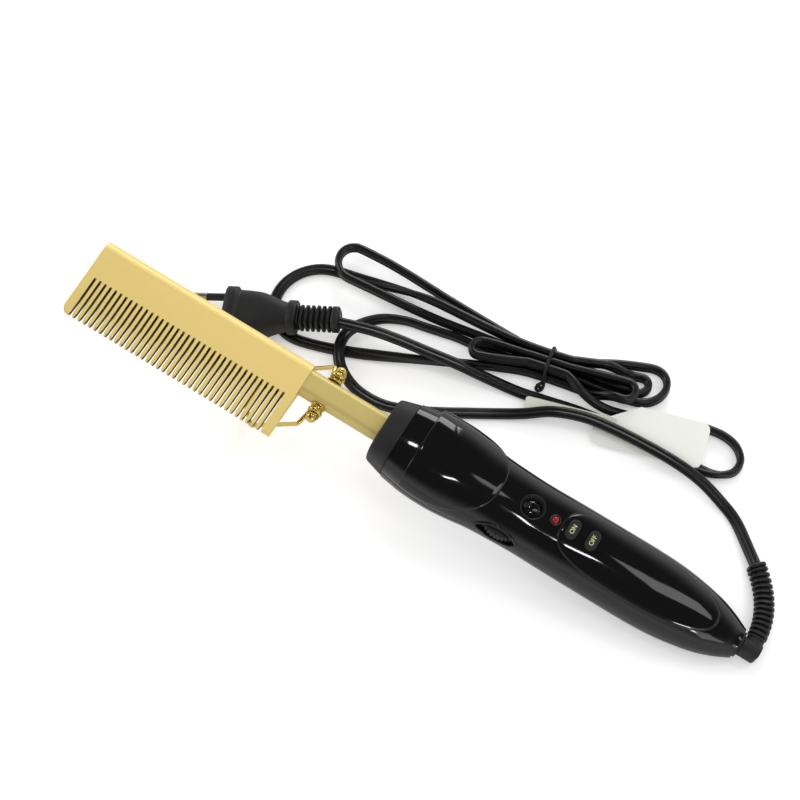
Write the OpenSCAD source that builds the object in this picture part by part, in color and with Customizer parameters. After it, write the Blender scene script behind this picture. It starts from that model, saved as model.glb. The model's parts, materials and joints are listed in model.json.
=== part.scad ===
// Electric hot comb: a heated comb plate on a neck tube, a moulded two-shell handle with a
// thumbwheel, a lamp and two buttons, a folding wire stand, a swivel cord inlet and a flat
// twin cord in a tied hank that ends in a two-pin plug. All sizes are in millimetres.

/* [Comb] */
// Length of the comb plate
comb_len = 107; // [80:1:140]
// From the spine's edge to the neck's centre line
comb_back = 8.7; // [8.5:0.1:12]
// From the neck's centre line to the tooth tips
comb_reach = 31; // [28:0.5:40]
// Thickness of the rounded spine
spine_t = 10; // [9:0.5:14]
// Thickness at the tooth tips
tip_t = 3; // [2:0.1:4]
// Number of slots between the teeth
slot_count = 37; // [10:1:42]
// Width of one slot
slot_w = 1.1; // [0.8:0.1:1.3]
// Depth of the slots
slot_depth = 20.4; // [14:0.2:21]
// Width of the guard tooth at each end
guard_w = 4.3; // [3:0.1:8]
// Radius of the plate's front corners
comb_corner_r = 3.2; // [1:0.2:5]

/* [Heater and neck] */
// Diameter of the heater rod
heater_d = 5; // [3:0.2:5.2]
// Neck that shows between the comb and the collar
neck_len = 39.7; // [30:0.5:60]
// Width of the neck tube
neck_w = 13.5; // [12.5:0.5:16]
// Thickness of the neck tube
neck_t = 8; // [7.5:0.1:8.5]
// Wall of the neck tube
tube_wall = 0.75; // [0.6:0.05:1]

/* [Stand] */
// From the comb's rear end to the pivot
pivot_gap = 10.7; // [9.5:0.1:20]
// Diameter of the stand wire
wire_d = 2; // [1.6:0.1:2.4]
// From the pivot to the foot, along the leg
leg_len = 61.2; // [52:0.2:80]
// Half the distance between the two legs
leg_half_w = 16.4; // [14.5:0.2:24]
// Half the width of the foot
foot_half_w = 3.6; // [2:0.2:10]
// Diameter of the pivot stud
stud_d = 3; // [2.4:0.1:3]

/* [Handle] */
// Length of the collar in front of the handle
collar_len = 9.9; // [8:0.1:16]
// Length of the handle's shells
handle_len = 170.4; // [162:0.2:210]
// Width of the handle across the hood
hood_w = 40.8; // [38:0.2:46]
// Width at the waist, by the thumbwheel
waist_w = 34.8; // [34:0.2:37]
// Width of the grip
grip_w = 35.4; // [34:0.2:42]
// Height of the grip
grip_t = 28; // [27:0.2:34]
// Wall of the shells
shell_wall = 2; // [1.6:0.1:2.2]
// How far the hood stands proud of the shell
hood_rise = 1.4; // [0.8:0.1:2]
// How far the inlay panel stands proud of the shell
panel_rise = 0.6; // [0.4:0.1:1]

/* [Controls] */
// From the handle's front to the thumbwheel's axle
wheel_x = 56.4; // [54:0.2:60]
// Diameter of the thumbwheel
wheel_d = 26; // [25:0.2:27]
// Thickness of the thumbwheel
wheel_t = 4; // [3:0.2:4.4]
// Number of ridges round the thumbwheel
ridge_count = 44; // [20:1:60]
// From the handle's front to the dial window
window_x = 64.4; // [62:0.2:66]
// From the handle's front to the lamp
lamp_x = 75.6; // [75:0.2:77]
// From the handle's front to the ON button
on_x = 84.2; // [84:0.2:85]
// From the handle's front to the OFF button
off_x = 93.9; // [93:0.2:96]
// Length of a button along the handle
button_l = 5.5; // [4.5:0.1:6.5]
// Width of a button across the handle
button_w = 10; // [8:0.2:12]
// Travel of a button
button_travel = 1; // [0.6:0.1:1.2]

/* [Hidden] */
$fn = 48;

fit = 0.05;    // radial clearance of a shaft that turns in a bore
seat = 0.1;    // clearance between pieces that are seated
tilt = 10;     // the comb end is held up by the stand

// Places along the tool, from the comb's front end
neck_x = comb_len;
pivot_x = comb_len + pivot_gap;
collar_x = neck_x + neck_len;
handle_x = collar_x + collar_len;
tail_x = handle_x + handle_len;
elbow_len = 8.6;
seam_gap = 0.4;    // dark seam between the socket and the elbow
socket_r = 6;
socket_lip = 1.2;
tail_r = 7.2;      // half width of the shells at the tail
tool_len = tail_x + socket_lip + seam_gap + elbow_len;

// Handle outline: distance from the handle's front, half width, height above and below the
// seam, and squareness of the section (2 is an ellipse)
shoulder_rise = grip_t / 2 - 0.4;
handle_keys = [
    [0, hood_w / 2 - 2.6, 12.8, 12.8, 3],
    [5.4, hood_w / 2 - 1.6, 13.4, 13.3, 2.9],
    [12, hood_w / 2 - 0.5, 13.9, 13.8, 2.7],
    [23.4, hood_w / 2, 14.2, 14.2, 2.5],
    [33.4, hood_w / 2 - 0.7, 13.9, 14.1, 2.4],
    [44, hood_w / 2 - 2, 13.2, 13.7, 2.3],
    [54, waist_w / 2 + 0.4, 12.6, 13.4, 2.3],
    [66, waist_w / 2, 12.4, 13.3, 2.3],
    [82, (waist_w + grip_w) / 4, 12.9, grip_t / 2 - 0.4, 2.3],
    [handle_len - 68, grip_w / 2, shoulder_rise, grip_t / 2, 2.2],
    [handle_len - 50, grip_w / 2, shoulder_rise, grip_t / 2, 2.2],
    [handle_len - 37, grip_w / 2 * 0.97, shoulder_rise * 0.97, grip_t / 2 * 0.97, 2.2],
    [handle_len - 26, grip_w / 2 * 0.9, shoulder_rise * 0.9, grip_t / 2 * 0.9, 2.1],
    [handle_len - 15, grip_w / 2 * 0.77, shoulder_rise * 0.78, grip_t / 2 * 0.78, 2.1],
    [handle_len - 7, grip_w / 2 * 0.61, shoulder_rise * 0.65, grip_t / 2 * 0.64, 2],
    [handle_len - 2, grip_w / 2 * 0.47, shoulder_rise * 0.54, grip_t / 2 * 0.53, 2],
    [handle_len, tail_r, tail_r, tail_r, 2]];
half_steps = 16;   // facets across a half shell
key_steps = 2;     // rings from one outline key to the next

// --- helper functions -------------------------------------------------------

// A smooth curve through b and c, with a and d on each side
function between(a, b, c, d, t) =
    (2 * b + (c - a) * t + (2 * a - 5 * b + 4 * c - d) * t * t
        + (3 * b - a - 3 * c + d) * t * t * t) / 2;
// The points of a smooth curve through a list of numbers or vectors
function smooth(p, steps) = concat(
    [for (i = [0 : len(p) - 2]) for (k = [0 : steps - 1])
        between(p[max(i - 1, 0)], p[i], p[i + 1], p[min(i + 2, len(p) - 1)], k / steps)],
    [p[len(p) - 1]]);
// A signed power, for rounded sections
function bulge(v, e) = sign(v) * pow(abs(v), 2 / e);
// A point of a rounded section: half width w, height h, squareness e, angle a from the side
function section(x, w, h, e, a) = [x, w * bulge(cos(a), e), h * bulge(sin(a), e)];
// The handle's outline at a distance from its front, between its rings
function outline(d, i = 0) =
    d >= handle_rings[i + 1][0] && i < len(handle_rings) - 2 ? outline(d, i + 1) :
    let (a = handle_rings[i], b = handle_rings[i + 1], t = (d - a[0]) / (b[0] - a[0]))
    a + (b - a) * t;
handle_rings = smooth(handle_keys, key_steps);
// The inner wall narrows to the socket's seat at the tail
function inner_half(r, outer) = r[0] > handle_len - 6.5 ? socket_r + seat
    : max(outer - shell_wall, socket_r + seat);

// Height of the tool's axis at the comb's front: the grip's belly rests on the surface
axis_z = max([for (r = handle_rings) (handle_x + r[0]) * sin(tilt) + r[3] * cos(tilt)]);
// The tool stands over the origin: its box without the cord is centred there
tool_place = [-tool_len * cos(tilt) / 2, (comb_reach - hood_w / 2) / 2, axis_z];

// Places a piece that is drawn along the tool's own axis
module placed() translate(tool_place) rotate([0, tilt, 0]) children();

// --- helper modules ---------------------------------------------------------

function total(list) = [for (p = list) 1] * list;
// True if a ring runs anticlockwise about the way to the next ring
function runs_back(a, b) = let (m = len(a), mid = total(a) / m)
    total([for (j = [0 : m - 1]) cross(a[j] - mid, a[(j + 1) % m] - mid)]) * (total(b) / m - mid) > 0;
// A solid through rings of equal, even point counts; each end is closed by a strip
module loft(rings) {
    m = len(rings[0]);
    last = (len(rings) - 1) * m;
    back = runs_back(rings[0], rings[1]);
    polyhedron(
        points = [for (r = rings) for (j = [0 : m - 1]) r[back ? m - 1 - j : j]],
        faces = concat(
            [for (i = [0 : len(rings) - 2]) for (j = [0 : m - 1]) let (k = (j + 1) % m)
                [i * m + j, i * m + k, (i + 1) * m + k]],
            [for (i = [0 : len(rings) - 2]) for (j = [0 : m - 1]) let (k = (j + 1) % m)
                [i * m + j, (i + 1) * m + k, (i + 1) * m + j]],
            [for (j = [0 : m / 2 - 2]) each [[j, m - 2 - j, j + 1], [j, m - 1 - j, m - 2 - j]]],
            [for (j = [0 : m / 2 - 2]) each [
                [last + j, last + j + 1, last + m - 2 - j],
                [last + j, last + m - 2 - j, last + m - 1 - j]]]));
}
// A cylinder along X, Y or Z from one place to another
module rod_x(r, from, to) translate([from, 0, 0]) rotate([0, 90, 0]) cylinder(r = r, h = to - from);
module rod_y(r, from, to) translate([0, from, 0]) rotate([-90, 0, 0]) cylinder(r = r, h = to - from);
module rod_z(r, from, to) translate([0, 0, from]) cylinder(r = r, h = to - from);
// A flat-sided slot shape, width across Y and height across Z, along X
module obround_x(w, h, from, to) translate([from, 0, 0]) rotate([90, 0, 90])
    linear_extrude(to - from) {
        square([w - h, h], center = true);
        for (s = [-1, 1]) translate([s * (w - h) / 2, 0]) circle(d = h);
    }
// The same shape seen from above, its long side across the tool
module obround_z(l, w, from, to) translate([0, 0, from]) linear_extrude(to - from) {
    square([l, w - l], center = true);
    for (s = [-1, 1]) translate([0, s * (w - l) / 2]) circle(d = l);
}
function unit(v) = v / norm(v);
function turned(p, a) = [p[0] * cos(a) - p[1] * sin(a), p[0] * sin(a) + p[1] * cos(a)];
// Soft start and end between 0 and 1, and the same inside a part of that range
function ease(t) = let (u = min(max(t, 0), 1)) u * u * (3 - 2 * u);
// Points of a bent wire: each corner becomes a curve that takes length cut from both sides
function bent(p, cut, steps) = concat([p[0]],
    [for (i = [1 : len(p) - 2])
        let (a = p[i] + unit(p[i - 1] - p[i]) * cut, b = p[i] + unit(p[i + 1] - p[i]) * cut)
        for (k = [0 : steps]) let (t = k / steps)
            a * (1 - t) * (1 - t) + p[i] * 2 * t * (1 - t) + b * t * t],
    [p[len(p) - 1]]);
// Rings of a tube through points [x, y, z, roll]: it lies flat where roll is 0 and stands on
// its edge where roll is 90
function tube_rings(p, w, h, sides) =
    let (n = len(p), grow = 1 / cos(180 / sides), flat_side = sides % 4 == 0)
    [for (i = [0 : n - 1]) let (
        a = p[max(i - 1, 0)], b = p[min(i + 1, n - 1)],
        run = unit([b[0] - a[0], b[1] - a[1], b[2] - a[2]]),
        flat = unit(cross([0, 0, 1], run)), up = cross(run, flat), roll = len(p[i]) > 3 ? p[i][3] : 0,
        across = flat * cos(roll) + up * sin(roll), over = up * cos(roll) - flat * sin(roll))
        [for (j = [0 : sides - 1]) let (t = 360 * (j + (flat_side ? 0.5 : 0)) / sides)
            [p[i][0], p[i][1], p[i][2]] + across * w / 2 * (flat_side ? grow : 1) * cos(t)
                + over * h / 2 * grow * sin(t)]];
module tube(p, w, h, sides) loft(tube_rings(p, w, h, sides));

// --- comb and neck ----------------------------------------------------------

// Points of an arc in steps
function arc(mid, r, from, to, steps) = [for (i = [0 : steps])
    let (a = from + (to - from) * i / steps) mid + r * [cos(a), sin(a)]];
// Section of the plate: a rounded spine that tapers to the rounded tooth tips
module comb_profile() {
    spine_y = comb_back - spine_t / 2;
    tip_y = tip_t / 2 - comb_reach;
    lean = asin((spine_t - tip_t) / 2 / (spine_y - tip_y));
    polygon(concat(arc([spine_y, 0], spine_t / 2, -90 - lean, 90 + lean, 20),
        arc([tip_y, 0], tip_t / 2, 90 + lean, 270 - lean, 8)));
}
// The plate from above, with rounded front corners and a slot between each two teeth
module comb_plan() {
    r = comb_corner_r;
    half = slot_w / 2;
    flare = 0.35;     // the mouth of a slot is this much wider on each side
    pitch = (comb_len - 2 * guard_w - slot_w) / (slot_count - 1);
    slot_end = slot_depth - comb_reach - half;
    polygon(concat(
        arc([r, comb_back - r], r, 90, 180, 5), arc([r, r - comb_reach], r, 180, 270, 5),
        [for (i = [0 : slot_count - 1]) let (x = guard_w + half + i * pitch) each concat(
            [[x - half - flare, -comb_reach], [x - half, 1.8 - comb_reach]],
            arc([x, slot_end], half, 180, 0, 6),
            [[x + half, 1.8 - comb_reach], [x + half + flare, -comb_reach]])],
        [[comb_len, -comb_reach], [comb_len, comb_back]]));
}
insert_w = neck_w - 2 * tube_wall - seat;
insert_h = neck_t - 2 * tube_wall - seat;
insert_len = 10;   // how far the insert goes into the comb
module comb_plate() color([0.93, 0.8, 0.45]) placed() difference() {
    intersection() {
        rotate([90, 0, 90]) linear_extrude(comb_len) comb_profile();
        translate([0, 0, -spine_t]) linear_extrude(2 * spine_t) comb_plan();
    }
    obround_x(insert_w + seat, insert_h + seat, comb_len - insert_len - seat, comb_len + 1);
    rod_x(heater_d / 2 + seat, 11, comb_len);
}
heater_end = comb_len + 6;
module heater_rod() color([0.85, 0.83, 0.78]) placed() rod_x(heater_d / 2, 12, heater_end);
// Joins the tube to the plate, and holds the heater's rear end
module neck_insert() color([0.72, 0.62, 0.38]) placed() difference() {
    obround_x(insert_w, insert_h, comb_len - insert_len, comb_len + 8);
    rod_x(heater_d / 2 + fit, comb_len - insert_len - 1, comb_len + 9);
}
tube_end = handle_x + 11;
module neck_tube() color([0.8, 0.72, 0.42]) placed() difference() {
    obround_x(neck_w, neck_t, comb_len, tube_end);
    obround_x(neck_w - 2 * tube_wall, neck_t - 2 * tube_wall, comb_len - 1, tube_end + 1);
    translate([pivot_x, 0, 0]) rod_y(stud_d / 2 + fit, -neck_w, neck_w);
}

// --- folding stand ----------------------------------------------------------

wire_r = wire_d / 2;
lock_nut_t = 2;
eye_y = neck_w / 2 + lock_nut_t + 0.1 + wire_r;     // middle of each eye
acorn_y = eye_y + wire_r + seat;                     // inner face of each acorn nut
acorn_t = 1.7;
stud_end = acorn_y + acorn_t + 0.9;
// Height of the pivot, and the leg's slope that puts the foot on the surface
pivot_z = axis_z - pivot_x * sin(tilt);
leg_slope = tilt + asin((pivot_z - wire_r) / leg_len);

module stand_stud() color("gold") placed() translate([pivot_x, 0, 0])
    rod_y(stud_d / 2, -stud_end, stud_end);
// A hexagon nut with its washer face against the tube
module lock_nut() {
    y = neck_w / 2 + 0.05;
    difference() {
        union() {
            rod_y(3.4, y, y + 0.6);
            translate([0, y, 0]) rotate([-90, 0, 0]) cylinder(d = 6.1, h = lock_nut_t - 0.05, $fn = 6);
        }
        rod_y(stud_d / 2 + fit, y - 1, y + lock_nut_t + 1);
    }
}
module stand_lock_nuts() color("gold") placed() translate([pivot_x, 0, 0])
    for (s = [0, 1]) mirror([0, s, 0]) lock_nut();
// A domed nut that closes the stud's end
module acorn_nut() difference() {
    union() {
        translate([0, acorn_y, 0]) rotate([-90, 0, 0]) cylinder(d = 6.1, h = acorn_t, $fn = 6);
        translate([0, acorn_y + acorn_t, 0]) intersection() {
            sphere(r = 2.6);
            rod_y(3, -0.5, 3);
        }
    }
    rod_y(stud_d / 2 + fit, acorn_y - 1, stud_end + seat);
}
module stand_acorn_nuts() color("gold") placed() translate([pivot_x, 0, 0])
    for (s = [0, 1]) mirror([0, s, 0]) acorn_nut();
// One bent wire: an eye on each stud end, two legs and a narrow foot
module stand_wire() color("gold") placed() translate([pivot_x, 0, 0]) rotate([0, -leg_slope, 0]) {
    eye_in = stud_d / 2 + fit;
    eye_out = eye_in + wire_d;
    clear = 4.6;     // the wire runs past the domed nut before it spreads
    splay = 7.2;     // where the leg reaches its full spread
    ankle = leg_len - 16.6;
    half = [[-eye_in - wire_r - 0.1, eye_y], [-clear, eye_y], [-splay, leg_half_w],
        [-ankle, leg_half_w], [-leg_len, foot_half_w]];
    path = concat(half, [for (i = [4 : -1 : 0]) [half[i][0], -half[i][1]]]);
    tube([for (q = bent(path, 1.6, 4)) [q[0], q[1], 0]], wire_d, wire_d, 12);
    for (s = [-1, 1]) translate([0, s * eye_y, 0]) rotate([90, 0, 0])
        rotate_extrude() polygon([[eye_in, -0.4 * wire_r], [eye_in + 0.4 * wire_r, -wire_r],
            [eye_out - 0.5 * wire_r, -wire_r], [eye_out, -0.5 * wire_r], [eye_out, 0.5 * wire_r],
            [eye_out - 0.5 * wire_r, wire_r], [eye_in + 0.4 * wire_r, wire_r],
            [eye_in, 0.4 * wire_r]]);
}

// --- handle shells ----------------------------------------------------------

// Points of half a section from the near side over the top (up = 1) or under (up = -1)
function half_section(x, w, h, e, up, n = half_steps) =
    [for (j = [0 : n]) let (p = section(x, w, h, e, 180 - 180 * j / n)) [p[0], p[1], up * p[2]]];
// A ring of half a shell: outer skin, then the inner skin back
function shell_ring(r, up) =
    let (h = up > 0 ? r[2] : r[3],
        outer = half_section(handle_x + r[0], r[1], h, r[4], up),
        inner = half_section(handle_x + r[0], inner_half(r, r[1]), inner_half(r, h), r[4], up))
    concat(outer, [for (j = [half_steps : -1 : 0]) inner[j]]);
module half_shell(up) loft([for (r = handle_rings) shell_ring(r, up)]);
front_post_x = handle_x + 30;
rear_post_x = tail_x - 35;
post_xs = [front_post_x, rear_post_x];
board_from = handle_x + 46;
board_to = handle_x + 129;
board_half_w = 12.5;
board_top = -0.5;
board_t = 1.6;
board_screw_xs = [board_from + 2, board_to - 4];
axle_x = handle_x + wheel_x;
axle_y = wheel_d / 2 - waist_w / 2 - 0.6;
wheel_z = 2.2;     // underside of the thumbwheel
window_r = 5.9;
lamp_r = 1.8;
button_gap = 0.25;

// An eye-shaped opening for the thumbwheel in the near side wall
module wheel_opening() {
    half_l = 9.5;
    half_h = wheel_t / 2 + 1;
    bow = (half_l * half_l + half_h * half_h) / (2 * half_h);
    translate([axle_x, 7 - waist_w / 2, wheel_z + wheel_t / 2]) rotate([90, 0, 0])
        linear_extrude(12) intersection_for(s = [-1, 1])
            translate([0, s * (bow - half_h)]) circle(r = bow, $fn = 64);
    translate([axle_x, axle_y, wheel_z - 0.4]) cylinder(d = wheel_d + 1.2, h = wheel_t + 0.8);
}
// The openings that both the upper shell and the inlay panel have
module button_holes() for (d = [on_x, off_x])
    translate([handle_x + d, 0, 0])
        obround_z(button_l + 2 * button_gap, button_w + 2 * button_gap, 9, 20);

module upper_shell() color([0.1, 0.1, 0.11]) placed() difference() {
    union() {
        half_shell(1);
        for (x = post_xs) translate([x, 0, 0]) rod_z(3, 0.1, post_top(x));
    }
    for (x = post_xs) translate([x, 0, 0]) rod_z(screw_r + seat, -1, 7);
    translate([handle_x + window_x, 0, 0]) rod_z(window_r + seat, 9, 20);
    translate([handle_x + lamp_x, 0, 0]) rod_z(lamp_r + 0.75, 9, 20);
    button_holes();
    wheel_opening();
}
// A post ends inside the thickness of the wall above or below it
function post_top(x) = outline(x - handle_x)[2] - shell_wall / 2;
function post_low(x) = outline(x - handle_x)[3] - shell_wall / 2;
screw_r = 1.3;
module lower_shell() color([0.09, 0.09, 0.1]) placed() difference() {
    union() {
        half_shell(-1);
        for (x = post_xs) translate([x, 0, 0]) rod_z(4.2, -post_low(x), -0.1);
        for (x = board_screw_xs) translate([x, 0, 0]) rod_z(2.6, -post_low(x), board_top - board_t);
    }
    for (x = post_xs) translate([x, 0, 0]) {
        rod_z(screw_r + 0.2, -20, 1);
        rod_z(3, -20, -7);
    }
    for (x = board_screw_xs) translate([x, 0, 0]) rod_z(0.95, -8, 0);
}
// A full section ring, for solid pieces
function full_section(x, w, h, e, n = 36) = [for (j = [0 : n - 1]) section(x, w, h, e, 360 * j / n)];
// Matt nose piece with rounded front edges and a spigot in the shells
module collar() color([0.16, 0.16, 0.17]) placed() difference() {
    w = hood_w / 2 - 3.2;
    h = 12.2;
    spigot_w = handle_keys[0][1] - shell_wall - seat;
    spigot_h = handle_keys[0][2] - shell_wall - seat;
    loft([
        full_section(collar_x, w - 4, h - 3.4, 3.4),
        full_section(collar_x + 0.5, w - 2.9, h - 2.3, 3.4),
        full_section(collar_x + 1.6, w - 2.3, h - 1.7, 3.4),
        full_section(handle_x - 0.6, w, h, 3.2),
        full_section(handle_x - seat, w - 0.3, h - 0.3, 3.2),
        full_section(handle_x - seat, spigot_w, spigot_h, 3),
        full_section(handle_x + 3, spigot_w, spigot_h, 3)]);
    obround_x(neck_w + seat, neck_t + seat, collar_x - 1, handle_x + 4);
}
// Heat-proof block that grips the tube's rear end inside the shells
module heat_bush() color([0.85, 0.82, 0.74]) placed() difference() {
    w = handle_keys[0][1] - shell_wall - 0.3;
    h = handle_keys[0][2] - shell_wall - 0.3;
    loft([for (x = [handle_x + 3.2, handle_x + 11]) full_section(x, w, h, 3)]);
    obround_x(neck_w + seat, neck_t + seat, handle_x, handle_x + 12);
}
// A thin curved cover on the upper shell: rows of [distance, first angle, last angle], and
// the heights of its inner and outer skins above the shell
module skin(rows, low, high, steps) loft([for (q = rows)
    let (o = outline(q[0]), span = (q[2] - q[1]) / steps)
    concat(
        [for (j = [steps : -1 : 0])
            section(handle_x + q[0], o[1] + high, o[2] + high, o[4], q[1] + span * j)],
        [for (j = [0 : steps])
            section(handle_x + q[0], o[1] + low, o[2] + low, o[4], q[1] + span * j)])]);
hood_from = 9.1;
hood_to = 48.9;
// Tongue-shaped hood: each side edge climbs from the seam to the rounded tip
module front_hood() color([0.07, 0.07, 0.08]) placed() {
    rows = 14;
    skin([for (i = [0 : rows]) let (t = i / rows, d = hood_from + (hood_to - hood_from) * sin(90 * t),
            edge = 8 + 80 * pow(1 - cos(90 * t), 1.15))
        [d, edge, 180 - edge]], 0.12, hood_rise, 18);
}
panel_from = on_x - 5;
panel_to = handle_len - 12.8;
// Long oval inlay behind the lamp; the buttons come through it
module top_panel() color([0.13, 0.13, 0.14]) placed() difference() {
    rows = 20;
    skin([for (i = [0 : rows]) let (t = -cos(180 * i / rows) * 0.996,
            half = 49 * pow(1 - pow(abs(t), 2.6), 1 / 2.6))
        [(panel_from + panel_to) / 2 + t * (panel_to - panel_from) / 2, 92 - half, 92 + half]],
        0.1, panel_rise, 14);
    button_holes();
}

// --- controls ---------------------------------------------------------------

// Height of the shell's top above the seam, on the centre line
function top_at(d) = outline(d)[2];
module window_bezel() color([0.2, 0.2, 0.21]) placed() translate([handle_x + window_x, 0, 0]) {
    top = top_at(window_x);
    rotate_extrude() polygon([[4.15, top - 4.4], [window_r, top - 4.4], [window_r, top - 0.3],
        [5.4, top - 0.1], [4.3, top - 2.4], [4.15, top - 2.6]]);
}
module dial_window() color([0.75, 0.78, 0.8, 0.5]) placed() translate([handle_x + window_x, 0, 0]) {
    top = top_at(window_x);
    dome = 9;     // radius of the magnifying dome
    translate([0, 0, top - 4.2]) cylinder(r = 4.05, h = 1.8);
    intersection() {
        translate([0, 0, top - 1 - dome]) sphere(r = dome);
        rod_z(4.05, top - 2.5, top);
    }
}
module power_lamp() color("red") placed() translate([handle_x + lamp_x, 0, 0]) {
    top = top_at(lamp_x);
    rod_z(lamp_r, top - 3.6, top - 0.6);
    translate([0, 0, top - 0.6]) sphere(r = lamp_r);
    rod_z(2.3, top - 4.6, top - 3.6);
    for (s = [-1, 1]) translate([0, s * 1.27, 0]) rod_z(0.3, board_top, top - 4.6);
}
module lamp_ring() color("silver") placed() translate([handle_x + lamp_x, 0, 0]) {
    top = top_at(lamp_x);
    rotate_extrude() polygon([[lamp_r + fit, top - 3.4], [lamp_r + 0.7, top - 3.4],
        [lamp_r + 0.7, top], [lamp_r + 0.5, top + 0.25], [lamp_r + fit, top + 0.1]]);
}
switch_h = 4;
plunger_r = 1.7;
plunger_top = board_top + switch_h + 1.2;
flange_top = 10.3;
// A cap with a rounded top rim, a flange under the shell and a post to its plunger
module button(d) translate([handle_x + d, 0, 0]) {
    top = top_at(d) + 1.1;
    obround_z(button_l, button_w, flange_top - 0.5, top - 0.4);
    obround_z(button_l - 0.8, button_w - 0.8, top - 0.5, top);
    obround_z(button_l + 1.6, button_w + 1.6, flange_top - 1, flange_top);
    rod_z(1.6, plunger_top, flange_top - 0.5);
}
module plunger(d) translate([handle_x + d, 0, 0])
    rod_z(plunger_r, board_top + switch_h - 1, plunger_top);
module on_button() color([0.08, 0.08, 0.09]) placed() button(on_x);
module off_button() color([0.08, 0.08, 0.09]) placed() button(off_x);
module on_plunger() color("dimgray") placed() plunger(on_x);
module off_plunger() color("dimgray") placed() plunger(off_x);
module button_switches() color([0.25, 0.25, 0.27]) placed()
    for (d = [on_x, off_x]) translate([handle_x + d, 0, 0]) difference() {
        translate([-3, -3, board_top]) cube([6, 6, switch_h]);
        rod_z(plunger_r + fit, board_top + switch_h - 2.2, board_top + switch_h + 1);
    }
hub_r = 3;
pot_bore_r = 2;
// Ridged wheel: the rim is one outline whose radius rises and falls
module dial_wheel() color([0.12, 0.12, 0.12]) placed() translate([axle_x, axle_y, wheel_z])
    difference() {
        linear_extrude(wheel_t) polygon([for (i = [0 : 4 * ridge_count - 1])
            let (a = 90 * i / ridge_count, r = wheel_d / 2 - (i % 4 < 2 ? 0 : 0.5))
            [r * cos(a), r * sin(a)]]);
        rod_z(hub_r + 0.02, -1, wheel_t + 1);
    }
module dial_hub() color("goldenrod") placed() translate([axle_x, axle_y, 0]) {
    rod_z(hub_r, wheel_z, wheel_z + wheel_t + 0.4);
    rod_z(pot_bore_r - fit, board_top + 0.2, wheel_z + 0.1);
}
module dial_potentiometer() color([0.2, 0.3, 0.5]) placed() translate([axle_x, axle_y, 0])
    difference() {
        translate([-6, -5.5, board_top]) cube([12, 11, wheel_z - board_top - 0.2]);
        rod_z(pot_bore_r, board_top - 1, wheel_z);
    }

// --- inside the handle ------------------------------------------------------

module circuit_board() color([0.12, 0.4, 0.2]) placed() difference() {
    translate([board_from, -board_half_w, board_top - board_t])
        cube([board_to - board_from, 2 * board_half_w, board_t]);
    for (x = board_screw_xs) translate([x, 0, 0]) rod_z(1.2, -5, 1);
}
module board_capacitor() color([0.75, 0.55, 0.15]) placed()
    translate([handle_x + 104, 2.5, board_top]) cube([13, 6, 8]);
module power_triac() color([0.15, 0.15, 0.15]) placed() translate([handle_x + 103, -9, board_top]) {
    translate([0, 0, 1.5]) cube([10, 4.5, 7.5]);
    for (i = [0 : 2]) translate([2.1 + 2.54 * i, 1.8, 0]) cube([0.8, 0.6, 1.6]);
}
module thermal_fuse() color("silver") placed() translate([0, 8, board_top + 2.1])
    rod_x(2, handle_x + 82, handle_x + 95);
module board_resistors() color([0.75, 0.65, 0.5]) placed()
    for (i = [0 : 2]) translate([0, -10.2 + 2.9 * i, board_top + 1.2])
        rod_x(1.2, handle_x + 119, handle_x + 125.5 - (i == 2 ? 1.5 : 0));
module board_screws() color("silver") placed() for (x = board_screw_xs) translate([x, 0, 0]) {
    rod_z(0.9, -7, board_top);
    rod_z(1.9, board_top, board_top + 1.3);
}
module shell_screws() color("silver") placed() for (x = post_xs) translate([x, 0, 0]) {
    rod_z(screw_r, -7, 6.5);
    rod_z(2.7, -9, -7);
}
// Two leads from the heater, past the stud, to the front of the board
module heater_leads() color("white") placed() for (s = [-1, 1]) tube([
    [heater_end + 0.1, 0, s * 1.6], [heater_end + 2.4, 0, s * 1.7], [pivot_x - 0.9, 0, s * 2.35],
    [pivot_x + 3, 0, s * 2.4],
    [tube_end - 1, 0, s * 2.4], [tube_end + 3, s * 2, s * 2], [tube_end + 8, s * 7, s * 1.2],
    [board_from - 6, s * 7, 0.6], [board_from + 3, s * 7, board_top + 0.75]], 1.3, 1.3, 6);
block_x = tail_x - 27;
spring_z = 2.6;
// Two leads from the contact block to the rear of the board
module supply_leads() color("saddlebrown") placed() for (s = [-1, 1]) tube([
    [block_x - 0.6, s * 3, 0], [block_x - 2.5, s * 4.5, 0], [block_x - 6, s * 7.5, 0.3],
    [board_to + 4, s * 7.5, 0.5], [board_to - 2.5, s * 7.5, board_top + 0.85]], 1.5, 1.5, 6);
module contact_block() color([0.9, 0.88, 0.8]) placed()
    translate([block_x, -5, -4]) cube([5.4, 10, 8]);
// Leaf contacts that brush the turning core, so the cord can spin without end
module contact_springs() color("orange") placed() for (s = [-1, 1])
    translate([block_x + 5.4, -1.5, s * (spring_z + 0.2) - 0.2]) cube([8.6, 3, 0.4]);

// --- swivel and cord --------------------------------------------------------

core_r = 3;
module tail_socket() color([0.14, 0.14, 0.15]) placed() difference() {
    rod_x(socket_r, tail_x - 6, tail_x + socket_lip);
    rod_x(core_r + fit, tail_x - 7, tail_x + socket_lip + 1);
}
elbow_x = tail_x + socket_lip + seam_gap;     // front face of the elbow
module swivel_core() color([0.3, 0.3, 0.3]) placed() {
    rod_x(core_r, tail_x - 8, elbow_x + 3);
    rod_x(4.6, tail_x - 8.2, tail_x - 6.2);
    rod_x(spring_z - 0.05, tail_x - 19, tail_x - 8);
}
elbow_r = 4.5;
outlet_x = elbow_x + 4.4;     // middle of the elbow's side outlet
outlet_y = 5.2;
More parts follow.
